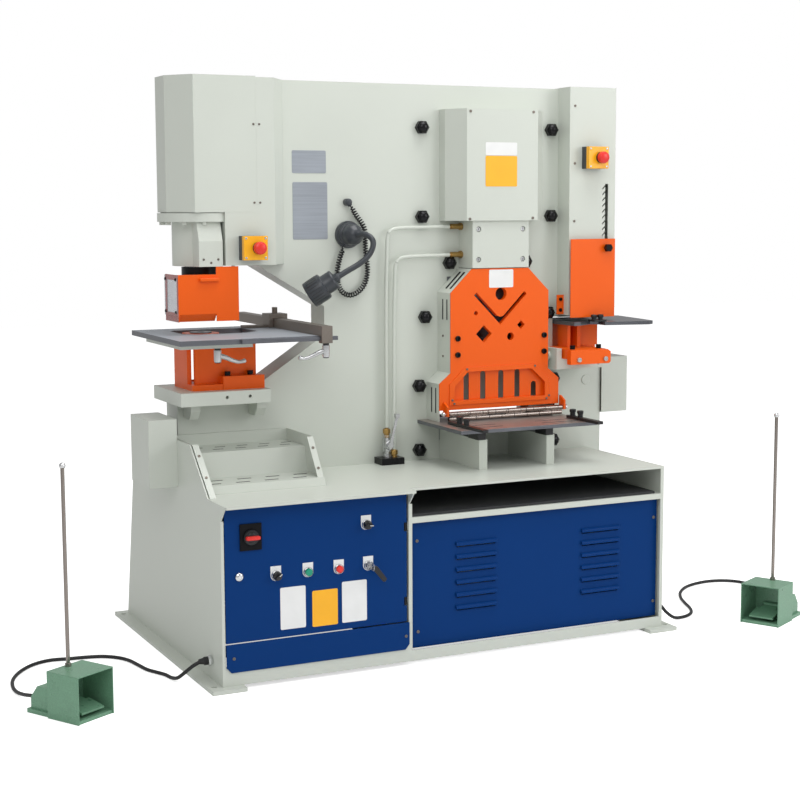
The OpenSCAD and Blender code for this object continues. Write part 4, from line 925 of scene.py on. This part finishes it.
@dataclass
class WorkLamp(Assembly):
    """Gooseneck lamp with a ribbed head, and its curly lead from the outlet to the base."""

    wire: float = 2.3
    coil: float = 9.0
    pitch: float = 8.6
    points: int = 2600
    run_out: float = 0.035
    slots: int = 26
    barrel: float = 43.0
    route: Route = (
        (-140.05, -13, 1397.4), (-136.45, -13, 1392.6), (-132.85, -13, 1387.8), (-124, -14, 1372),
        (-113, -14, 1357), (-102, -14, 1343), (-94.5, -14, 1331), (-89.5, -14, 1316),
        (-88, -14, 1298), (-88, -14, 1276), (-87, -14, 1252), (-84, -14, 1226), (-81, -14, 1191),
        (-86, -14, 1157), (-102, -14, 1130), (-130, -14, 1111), (-156, -14, 1111),
        (-176, -14, 1126), (-187, -14, 1154), (-188, -14, 1186), (-183, -14, 1214),
        (-175, -13, 1238), (-169, -12, 1252), (-169, -12, 1259), (-169, -12, 1265.7),
    )
    neck: Route = (
        (-146, -60, 1304), (-142, -80, 1303), (-134, -104, 1307), (-122, -128, 1297),
        (-117, -138, 1280), (-124, -140, 1255), (-142, -138, 1231), (-172, -136, 1210),
        (-206, -134, 1192), (-236, -132, 1175), (-243, -128, 1170),
    )

    def build(self) -> None:
        """Makes the lamp and its lead."""
        self._lamp()
        spiral = self._spiral()
        lead = self.add("lamp_lead", [self._wound(spiral)], Stock.LEAD, replaces=("lamp_cord",))

    def _spiral(self) -> np.ndarray:
        """The wire's middle: line + reach * (cos p * n + sin p * b), where the phase p grows
        evenly along the route and the reach swells from 0 to the coil's radius at both ends."""
        path = catmull(self.route, 70)
        steps = np.linalg.norm(np.diff(path, axis=0), axis=1)
        along = np.concatenate([[0.0], np.cumsum(steps)])
        even = np.linspace(0, 1, self.points)
        line = np.stack([np.interp(even, along / along[-1], path[:, k]) for k in range(3)], 1)
        b = np.array([0.0, 1.0, 0.0])
        n = unit(np.cross(unit(np.gradient(line, axis=0)), b))
        phase = (even * along[-1] / self.pitch * 2 * math.pi)[:, None]
        swell = np.clip(np.minimum(even, 1 - even) / self.run_out, 0, 1)
        reach = (self.coil - self.wire) * swell * swell * (3 - 2 * swell)
        return line + reach[:, None] * (np.cos(phase) * n + np.sin(phase) * b)

    def _wound(self, spiral: np.ndarray) -> Shape:
        """A round wire along the spiral, with its ring square to the path at each point."""
        t = unit(np.gradient(spiral, axis=0))
        away = np.gradient(t, axis=0)
        bent = np.linalg.norm(away, axis=1)[:, None] > 1e-9
        n = unit(np.cross(t, np.where(bent, away, np.array([0.0, 1.0, 0.0]))))
        return sweep(spiral, n, np.cross(t, n), self.wire, 7)

    def _lamp(self) -> None:
        """Base on the frame, gooseneck, and a head with a collar, a neck and a slotted barrel whose
        slots are black bars of painted shade.
        """
        base = lathe(
            ((0, 44), (12, 44), (14.5, 42.5), (16, 39), (16.6, 37), (17.5, 38.5), (20, 39.5),
             (28, 39.5), (31, 38), (33, 34), (56, 33), (63, 30), (68, 24), (71, 22), (76, 15),
             (78, 9)),
            (-146, 0, 1304), sides=48,
        )
        start, aim = np.array((-236.0, -132.0, 1175.0)), np.array((-71.0, 38.0, -52.0))
        u, v, w = basis(aim)
        head = lathe(
            ((-3, 9.5), (0, 11.5), (2, 15), (11, 15.5), (12, 22), (14, 30), (17, 32), (48, 32),
             (50, 33), (51, 38), (53, 42), (57, 43), (106, 43), (109, 42), (110, 39.5), (106, 37),
             (102, 20), (101, 0.5)),
            start, aim, 56,
        )
        neck = tube(catmull(self.neck, 8), 9.2, 20)
        inlet = lathe(((0, 6), (1, 7.5), (18, 7.5)), (-169, -12, 1266), (0, 0, 1), 18)
        outlet = dome((-148, 0, 1408), OUT, 12, 7, 18)
        relief = lathe(((0, 7.5), (12, 7.5), (14, 6), (14.5, 3)), (-148, -13, 1408),
                       (0.6, 0, -0.8), 18)
        self.add("work_lamp_body", [base, head, neck, inlet, outlet, relief], Stock.LAMP,
                 replaces=("work_lamp",), angle=28)
        # black bars on the barrel paint the shade inside its slots
        slots = []
        for a in np.arange(self.slots) * 2 * math.pi / self.slots:
            out = np.cos(a) * u + np.sin(a) * v
            axes = np.stack([np.cos(a) * v - np.sin(a) * u, out, w], 1)
            slot = bar((-0.8, -0.4, 62), (0.8, 0.4, 100), 0.3)
            slots.append(slot.turned(axes).moved((start + self.barrel * out) * MM))
        self.add("lamp_head_slots", slots, Stock.SLOT_SHADE)


# ---- details -------------------------------------------------------------


@dataclass
class Fasteners(Assembly):
    """Domes of the tie bolts' nuts, and the screws of covers, guards, rack and panels."""

    shear_x: float = 369.0
    ties: tuple = (
        (-248, 1651), (246, 1651), (-248, 1360), (246, 1360), (-146, 1206), (146, 1206),
        (-238, 1028), (238, 1028), (-260, 799), (260, 799), (-260, 583), (260, 583),
    )
    # radius, face and places of the screws that look out of covers, guards and panels
    small: tuple = (
        (4.6, -109, ((248, 1701), (485, 1703), (246, 1352), (484, 1354))),
        (4.2, -75, ((668, 1730), (668, 1537), (668, 1342))),
        (3.4, -74, ((-660, 1234), (-636, 1224), (-613, 1234))),
        (3.8, -98, ((242, 856), (503, 856), (187, 755), (559, 752), (194, 743), (549, 743))),
        (5.0, -466, ((-128, 380), (739, 377), (741, 96), (-125, 96))),
        (4.6, -489, ((-731, 94), (-177, 94))),
    )
    # x of a tray side, its sloped edge from top to foot in y and z, and the screws' shares of it
    tray_sides: tuple = (
        (-747, (-220, 687), (-378, 548), (0.22, 0.62)),
        (-375, (-220, 687), (-303, 572), (0.28, 0.78)),
    )

    def build(self) -> None:
        """Makes one piece for the domes and one for each kind of screw."""
        domes = [
            dome((self.shear_x + x, y, z), (0, side, 0), 18.5, 13, 1.5)
            for x, z in self.ties for y, side in ((-18, -1), (128, 1))
        ]
        self.add("cap_nut_domes", domes, Stock.OXIDE)
        heads = [screw((x, y, z), r, 2.6) for r, y, spots in self.small for x, z in spots]
        heads += [screw((x, -75, z), 3.4, 2.0) for z in (1647, 1407) for x in (-492, -473)]
        heads += [
            screw((self.shear_x + side * 187, -41, z), 4.0, 2.4, (side, 0, 0))
            for side in (-1, 1) for z in (966, 898)
        ]
        heads += self._tray_screws()
        self.add("cover_screws", heads, Stock.ZINC_SCREW)
        pale = [screw((x, -90, z), 7.5, 5) for x in (285, 453) for z in (1218, 1318)]
        self.add("guide_block_screws", pale, Stock.BRIGHT_SCREW)
        big = [screw((x, -95, z), 9.5, 7) for x, z in ((208, 959), (208, 905), (539, 959),
                                                       (539, 904))]
        self.add("guard_bolts", big, Stock.OXIDE)
        window = [screw((-747, y, z), 5, 3, (-1, 0, 0)) for y in (-62, 40) for z in (1074, 1174)]
        self.add("punch_guard_bolts", window, Stock.OXIDE, "punch_guard",
                 slot="dark_steel")
        pins = [dome((x, -111, 711), (side, 0, 0), 8.5, 7, 1) for x, side in ((148, -1), (617, 1))]
        self.add("flap_pin_caps", pins, Stock.PIN)
        tab = soft_box((-676, -87, 1167), (-615, -72.5, 1178), 2.5)
        self.add("guard_tab", [tab], Stock.ORANGE, "punch_guard")
        cover = lathe(((0, 17), (1.6, 17), (2.4, 16)), (767, 0, 786), sides=40)
        self.add("round_cover", [cover], Stock.GREY)

    def _tray_screws(self) -> list[Shape]:
        """Screws on the sloped edges of the tool rack, square to the slope."""
        heads = []
        for x, top, foot, shares in self.tray_sides:
            run = np.subtract(foot, top).astype(float)
            out = run / np.linalg.norm(run)
            heads += [
                screw((x, *(np.array(top) + run * share)), 4.4, 2.2, (0, out[1], -out[0]))
                for share in shares
            ]
        return heads


@dataclass
class Plates(Assembly):
    """Blank plates: metal ones on the frame, pale and yellow ones on covers and door."""

    corner: float = 4.0
    # name, stock, body, face and the left, bottom, right and top of each plate
    plates: tuple = (
        ("name_plates", Stock.NAME_PLATE, ROOT, 0.0,
         ((-336, 1500, -219, 1572), (-335, 1290, -215, 1472))),
        ("cover_plate_upper", Stock.WHITE, ROOT, -109.0, ((304, 1560, 423, 1602),)),
        ("cover_plate_lower", Stock.YELLOW, ROOT, -109.0, ((304, 1458, 423, 1558),)),
        ("guard_plate", Stock.WHITE, ROOT, -95.0, ((326, 1124, 418, 1184),)),
        ("door_plates", Stock.WHITE, DOOR, -485.0,
         ((-584, 161, -504, 287), (-387, 159, -306, 284))),
        ("door_plate_middle", Stock.YELLOW, DOOR, -485.0, ((-483, 158, -401, 267),)),
    )

    def build(self) -> None:
        """Makes every plate a thin sheet with rounded corners that faces the operator."""
        r = self.corner
        turn = np.radians((180, 225, 270, 270, 315, 360, 0, 45, 90, 90, 135, 180))
        for name, stock, body, y, spans in self.plates:
            shapes = []
            for x0, z0, x1, z1 in spans:
                cx = np.repeat((x0 + r, x1 - r, x1 - r, x0 + r), 3)
                cz = np.repeat((z0 + r, z0 + r, z1 - r, z1 - r), 3)
                outline = np.stack([cx + r * np.cos(turn), cz + r * np.sin(turn)], 1)
                shapes.append(prism(outline, (0, y, 0), 1.0, 0.3))
            self.add(name, shapes, stock, body)


@dataclass
class ControlPanel(Assembly):
    """Switches, buttons, bezels and legend plates of the door, and the two stop buttons."""

    front: float = -485.0

    def build(self) -> None:
        """Makes the door's controls, each riding on its own body."""
        self._legends()
        self._switches()
        self._buttons()
        self._stops()

    def _legends(self) -> None:
        """White legend plates with a round lower end, and chromed bezel rings."""
        spots = ((-597, 327), (-496, 327), (-397, 326), (-301, 327), (-307, 452))
        arc = np.linspace(math.pi, 2 * math.pi, 13)
        lower = np.stack([16.5 * np.cos(arc), 16.5 * np.sin(arc)], 1)
        outline = np.vstack([lower, [[16.5, 27.0], [-16.5, 27.0]]])
        plates = [prism(outline, (x, self.front, z), 1.4, 0.4) for x, z in spots]
        self.add("legend_plates", plates, Stock.WHITE, DOOR)
        ring = ((0, 15), (6, 15), (9, 14.2), (9.5, 13.5), (9, 12.9), (5, 12.9))
        rings = [lathe(ring, (x, self.front, z), sides=36) for x, z in spots]
        lock = ((0, 12.5), (3, 12), (6, 9), (7, 5), (5, 4.4), (5, 0.3))
        rings.append(lathe(lock, (-710, self.front - 1, 333), sides=28))
        self.add("bezels", rings, Stock.BEZEL, DOOR)

    def _switches(self) -> None:
        """Main switch, two selectors and the key switch."""
        y = self.front
        disc = lathe(((0.3, 23), (6, 23), (8, 21.5), (9, 16), (12, 14), (13, 12)),
                     (-674, y - 6, 448), sides=40)
        self.add("main_knob", [disc], Stock.KNOB, "main_switch", ("main_switch",),
                 slot="red_plastic")
        grip = soft_box((-696, y - 32, 442), (-652, y - 15, 454), 5.5, 4)
        self.add("main_grip", [grip], Stock.GRIP, "main_switch")
        for body, x, z, turn in (("mode_selector", -597, 327, -40),
                                 ("feed_selector", -307, 452, 5)):
            c, s = math.cos(math.radians(turn)), math.sin(math.radians(turn))
            spin = np.array([[c, 0, s], [0, 1, 0], [-s, 0, c]])
            at = np.array((x, y, z)) * MM
            knob = lathe(((5, 10.8), (10, 10.8), (13, 13.5), (19, 13), (21, 10), (21.5, 4)),
                         (x, y, z))
            grip = soft_box((-12.5, -30, -4), (12.5, -14, 4), 3.4, 4).turned(spin).moved(at)
            self.add(f"{body}_knob", [knob, grip], Stock.KNOB, body, (body,))
            line = bar((1, -30.5, -1), (12, -29.6, 1), 0.3).turned(spin).moved(at)
            self.add(f"{body}_line", [line], Stock.WHITE, body)
        key = [
            lathe(((4, 10.8), (14, 10.8), (16, 9.5), (16, 4)), (-301, y, 327), sides=30),
            bar((-302.2, y - 26, 321), (-299.8, y - 15, 333), 0.5),
            lathe(((-1.2, 11), (-0.6, 12), (0.6, 12), (1.2, 11)), (-301, y - 34, 327),
                  (1, 0, 0), 24),
        ]
        self.add("key", key, Stock.KEY, "key_switch", ("key_switch",))
        tag = ((0, 5), (-6, 1), (-4, -5), (30, -46), (38, -45), (42, -37), (12, 2), (6, 6))
        self.add("key_tag", [prism(tag, (-299, y - 38, 326), 3.0, 0.8)], Stock.KNOB, "key_switch")

    def _buttons(self) -> None:
        """Caps of the start and stop buttons."""
        for body, x, z, stock in (("start_button", -496, 327, Stock.START),
                                  ("stop_button", -397, 326, Stock.STOP)):
            cap = lathe(((4, 11), (11, 11), (12.4, 10), (13, 7), (12.6, 0.4)), (x, self.front, z))
            self.add(f"{body}_cap", [cap], stock, body, (body,))

    def _stops(self) -> None:
        """Mushroom caps, collars and corner screws of the two emergency stops."""
        screws, collars = [], []
        for side, x, front, z in (("left", -506, -120, 1268), ("right", 736, -120, 1556)):
            cap = lathe(((10, 20), (20, 20), (24, 18.6), (27, 14), (28.6, 8), (29, 0.4)),
                        (x + 8, front, z), sides=40)
            stem = lathe(((-20, 10.8), (10.5, 10.8)), (x + 8, front, z), sides=24)
            button = f"estop_button_{side}"
            self.add(f"stop_cap_{side}", [cap, stem], Stock.GRIP, button, (button,))
            screws += [screw((x + a, front, z + b), 3.6, 1.2) for a in (-32, 32) for b in (-30, 30)]
            collar = ((0, 19), (2.5, 19), (3.5, 17.5), (3.5, 12), (0.4, 12))
            collars.append(lathe(collar, (x + 8, front, z), sides=36))
        self.add("stop_box_collars", collars, Stock.KNOB)
        self.add("stop_box_screws", screws, Stock.BRIGHT_SCREW)


@dataclass
class Fittings(Assembly):
    """Levers, knobs, hydraulic nuts and black sheets of painted shade behind slots."""

    shear_x: float = 369.0

    def build(self) -> None:
        """Makes the levers, the knobs of guides and stops, the sheets of painted shade and the
        nuts.
        """
        self._levers()
        self._knobs()
        self._shade_sheets()
        self._pipes()

    def _levers(self) -> None:
        """Cranked clamping levers: a hub with dark collars and a curved, tapering arm."""
        for side, x, y, z, way in (("left", -659, -185, 971, 1), ("right", -345, -283, 981, -1)):
            body, down = f"clamp_lever_{side}", (0, 0, -1)
            hub = lathe(((6, 9), (7, 11.5), (38, 11.5), (43, 10)), (x, y, z), down, 28)
            route = ((6, 0, -24), (26, 0, -30), (46, 0, -39), (68, 0, -45), (86, 0, -42))
            path = catmull([(x + way * a, y + b, z + c) for a, b, c in route], 6)
            share = np.linspace(0, 1, len(path))
            arm = tube(path, 8.5 - 4.0 * share + 2.6 * np.clip(share - 0.8, 0, 1) * 5, 16)
            tip = dome(path[-1], (way, 0, 0.2), 7.1, 5)
            self.add(f"lever_{side}", [hub, arm, tip], Stock.LEVER, body, (body,))
            collars = [lathe(profile, (x, y, z), down, 24) for profile in (
                ((0.4, 9), (1, 10), (5, 10), (6.5, 9)), ((42.5, 9.5), (44, 9.5), (46, 8)))]
            self.add(f"lever_collars_{side}", collars, Stock.KNOB, body)

    def _knobs(self) -> None:
        """Knurled heads on the clamping screws of the side guides and the notching stop."""
        head = ((0, 10), (1, 11), (8, 11), (10, 9.5), (11, 5))
        for body, spots in (
            ("side_guide_left", ((152, -262, 706), (152, -215, 706))),
            ("side_guide_right", ((582, -262, 706), (582, -215, 706))),
            ("notch_stop", ((724, -118, 1013), (750, -118, 1013))),
        ):
            knobs = [lathe(head, spot, (0, 0, 1), 12) for spot in spots]
            self.add(f"{body}_knobs", knobs, Stock.KNOB, body, angle=20)

    def _shade_sheets(self) -> None:
        """Black sheets of painted shade behind the guard's vents and under the rack's slots."""
        sheets = []
        lean = math.sqrt(0.5)
        slope = ((-37.5, -1), (37.5, -1), (37.5, 1), (-37.5, 1))
        for y in (-72, -42):
            for side in (-1, 1):
                for half, z0, z1 in ((187, 1020, 1088), (229, 712, 796)):
                    x = self.shear_x + side * (half - 1.4)
                    sheets.append(bar((x - 1, y + 0.2, z0 + 0.2), (x + 1, y + 8.8, z1 - 0.2), 0.1))
            sheets.append(prism(slope, (221.1, y + 8.8, 1149.9), 8.6, 0.1,
                                (lean, 0, lean), (-lean, 0, lean)))
        for tray, x0, step, width, shift, count, y0, run in (
            (650, -727, 74, 36, 22, 5, -112, 46), (572, -731, 92, 46, 24, 4, -280, 55)
        ):
            for i in range(count):
                for j in (0, 1):
                    x, y = x0 + i * step + j * shift, y0 + j * run
                    sheets.append(bar((x + 0.2, y + 0.2, tray - 2.8),
                                      (x + width - 0.2, y + 13.8, tray - 0.8), 0.1))
        # these black sheets are painted shade, so that the vents and slots look dark
        self.add("painted_shade_sheets", sheets, Stock.SHADE_SHEET)

    def _pipes(self) -> None:
        """Hexagonal nuts on the hydraulic lines and the valve."""
        for name, stock, nuts in (
            ("union_nuts", Stock.BRASS_NUT, (
                (((0, 11), (1, 12.5), (15, 12.5), (16, 11)), (-19, -22, 648), (0, 0, 1)),
                (((0, 11), (1, 12.5), (13, 12.5), (14, 11)), (4, -30, 578), (0, 0, 1)))),
            ("valve_nuts", Stock.ZINC_NUT, (
                (((0, 11), (1, 12.5), (9, 12.5), (10, 11)), (-19, -24, 632), (0, 0, 1)),
                (((0, 15), (2, 17), (12, 17), (14, 15)), (-21, -52.5, 612), (0, 1, 0)),
                (((0, 12), (1, 13), (8, 13), (9, 11)), (-21, -28, 572), (0, 0, 1)))),
        ):
            shapes = [lathe(profile, at, axis, 6) for profile, at, axis in nuts]
            self.add(name, shapes, stock, angle=25)


# ---- finishes of the frame's nodes ----------------------------------------


class Finishes:
    """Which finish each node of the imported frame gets."""

    def _rows(self) -> tuple[tuple[str, str, Finish, tuple[Zone, ...]], ...]:
        """Rows of nodes, their material's name, the finish all over and the zones of others."""
        table = Steel(Tone.TABLE, 0, metal=0.7)
        oxide = Steel(Tone.BLACK, 2, 0.3, 0.1, 0.7)
        # painted shade: dark matte laid in the gaps round the electrical door
        shade = Moulded(Tone.BLACK, rough=0.8)
        return (
            ("front_frame_plate rear_frame_plate foot_plates cabinet_sides cabinet_sheets "
             "tool_rack side_boxes head_box punch_cylinder cylinder_hood bed_blocks guard_housing "
             "shear_cylinder cylinder_cover notcher_cover", "grey_paint", GREY, ()),
            ("fixed_panels", "blue_paint", BLUE, ()),
            ("notch_table", "notch_table_steel", Steel(Tone.TABLE), ()),
            ("tool_steel", "tool_steel_steel", Steel(Tone.TABLE), ()),
            ("shear_beam", "shear_beam_steel", Steel(Tone.TABLE), ()),
            ("side_guide_left side_guide_right notch_stop", "black_parts", BLACK, ()),
            ("valve_lever electrical_plate", "bright_metal", BRIGHT, ()),
            ("roller_flap", "rollers", Rollers(), ()),
            ("fence", "fence_steel", Steel(Tone.BROWNED, 1, 0.42, metal=0.6), ()),
            ("fence_stop", "fence_stop_steel", Steel(Tone.BROWNED, 0, 0.42, metal=0.6), ()),
            ("rubber_mat", "ribbed_mat", RibbedMat(), ()),
            ("power_pack", "machine_grey", Paint(Tone.MOTOR), ()),
            ("treadle_left treadle_right", "hammered_green", Hammered(Tone.PEDAL), ()),
            ("punch_table", "punch_table_steel", table, (
                Zone(Steel(Tone.PLATE, 0, 0.5, metal=0.3), z=(1002.5, None)),)),
            ("shear_table", "shear_table_steel", table, (
                Zone(Steel(Tone.WORN, 0, 0.36, metal=0.6), z=(683.5, None)),)),
            ("shear_stand", "shear_stand_paint", GREY, (
                Zone(BLACK, y=(None, -62.0), z=(646.1, None)),)),
            ("pedal_housings", "pedal_green", Hammered(Tone.PEDAL), (
                Zone(Steel(Tone.POLE, 2, 0.18, 0.1, 1.0, 0.1), z=(133.2, 690.0)),
                Zone(CHROME, z=(690.0, None)))),
            ("cabinet_front", "cabinet_front_paint", GREY, (
                # painted shade in the gap below the door and in the gap beside its right edge
                Zone(shade, (-760.0, -167.0), (-486.0, -440.0), (98.0, 138.0)),
                Zone(shade, (-179.0, -166.0), (-484.5, -467.0), (188.0, 500.0)))),
            (DOOR, "door_paint", BLUE, (
                Zone(BRIGHT, y=(None, -485.1)),
                Zone(BLACK, (-710.0, -638.0), (None, -485.1), (405.0, 490.0)))),
            ("punch_ram", "ram_metal", BRIGHT, (
                Zone(Steel(Tone.BLACK, 2, 0.35, 0.1, 0.6), z=(1181.0, 1208.5)),
                Zone(Steel(Tone.TABLE, 2), z=(None, 1181.0)))),
            ("punch_guard", "punch_guard_paint", ORANGE, (Zone(ClearSheet(), (None, -743.5)),)),
            ("estop_boxes", "estop_yellow", Moulded(Tone.YELLOW, rough=0.3), (
                Zone(Moulded(Tone.LAMP), (None, 0.0), (-103.0, None)),
                Zone(Moulded(Tone.LAMP), (0.0, None), (-103.0, None)))),
            ("frame_spacers", "spacers_paint", GREY, (
                Zone(oxide, y=(None, -0.5)), Zone(oxide, y=(110.5, None)))),
            ("die_support", "die_support_paint", ORANGE, (
                Zone(oxide, (-600.0, -490.0), (-75.0, -50.0), (872.5, 888.0)),)),
            ("notch_die_block", "notch_block_paint", ORANGE, (
                Zone(oxide, y=(-162.0, -138.0), z=(910.5, 926.0)),
                Zone(oxide, y=(-60.0, -44.2), z=(1020.0, None)),
                Zone(BRIGHT, y=(None, -190.5)))),
            ("notcher_guard", "notcher_guard_paint", ORANGE, (
                Zone(oxide, y=(None, -93.5)),
                Zone(oxide, (776.0, 819.0), (-89.9, -74.0), (1230.0, 1270.0)))),
            ("hydraulic_lines", "pipe_paint", Paint(Tone.GREY, rough=0.3), (
                Zone(BRASS, (215.0, None), z=(1210.0, 1345.0)),
                Zone(BRASS, (None, -8.0), z=(636.0, 668.0)),
                Zone(BRIGHT, (None, -5.6), z=(568.0, 636.5)),
                Zone(BRASS, (-5.6, None), z=(570.0, 595.0)),
                Zone(oxide, z=(None, 570.2)))),
            ("shear_guard", "guard_paint", ORANGE, (
                Zone(Rollers(), (166.0, 600.0), (-120.0, -102.0), (702.5, 719.5)),
                Zone(CHROME, (None, 154.5), (-117.0, -104.0), (705.0, 717.0)),
                Zone(CHROME, (610.5, None), (-117.0, -104.0), (705.0, 717.0)))),
        )

    def build(self) -> None:
        """Assigns a material to every node that stays in view."""
        plan = {name: row for names, *row in self._rows() for name in names.split()}
        for name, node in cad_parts.items():
            if name in plan:
                title, finish, zones = plan[name]
                node.data.materials.clear()
                node.data.materials.append(SHOP.material(title, finish, zones, EDGE))
                LOG.info("%s: %s", name, title)


def main() -> None:
    """Builds the sub-assemblies in order."""
    logging.basicConfig(level=logging.INFO, format="%(message)s")
    bpy.context.scene.view_settings.view_transform = "Standard"
    for part in (Studio(), SwitchCords(), WorkLamp(), Fasteners(), Plates(), ControlPanel(),
                 Fittings(), Finishes()):
        part.build()


if __name__ == "__main__":
    main()
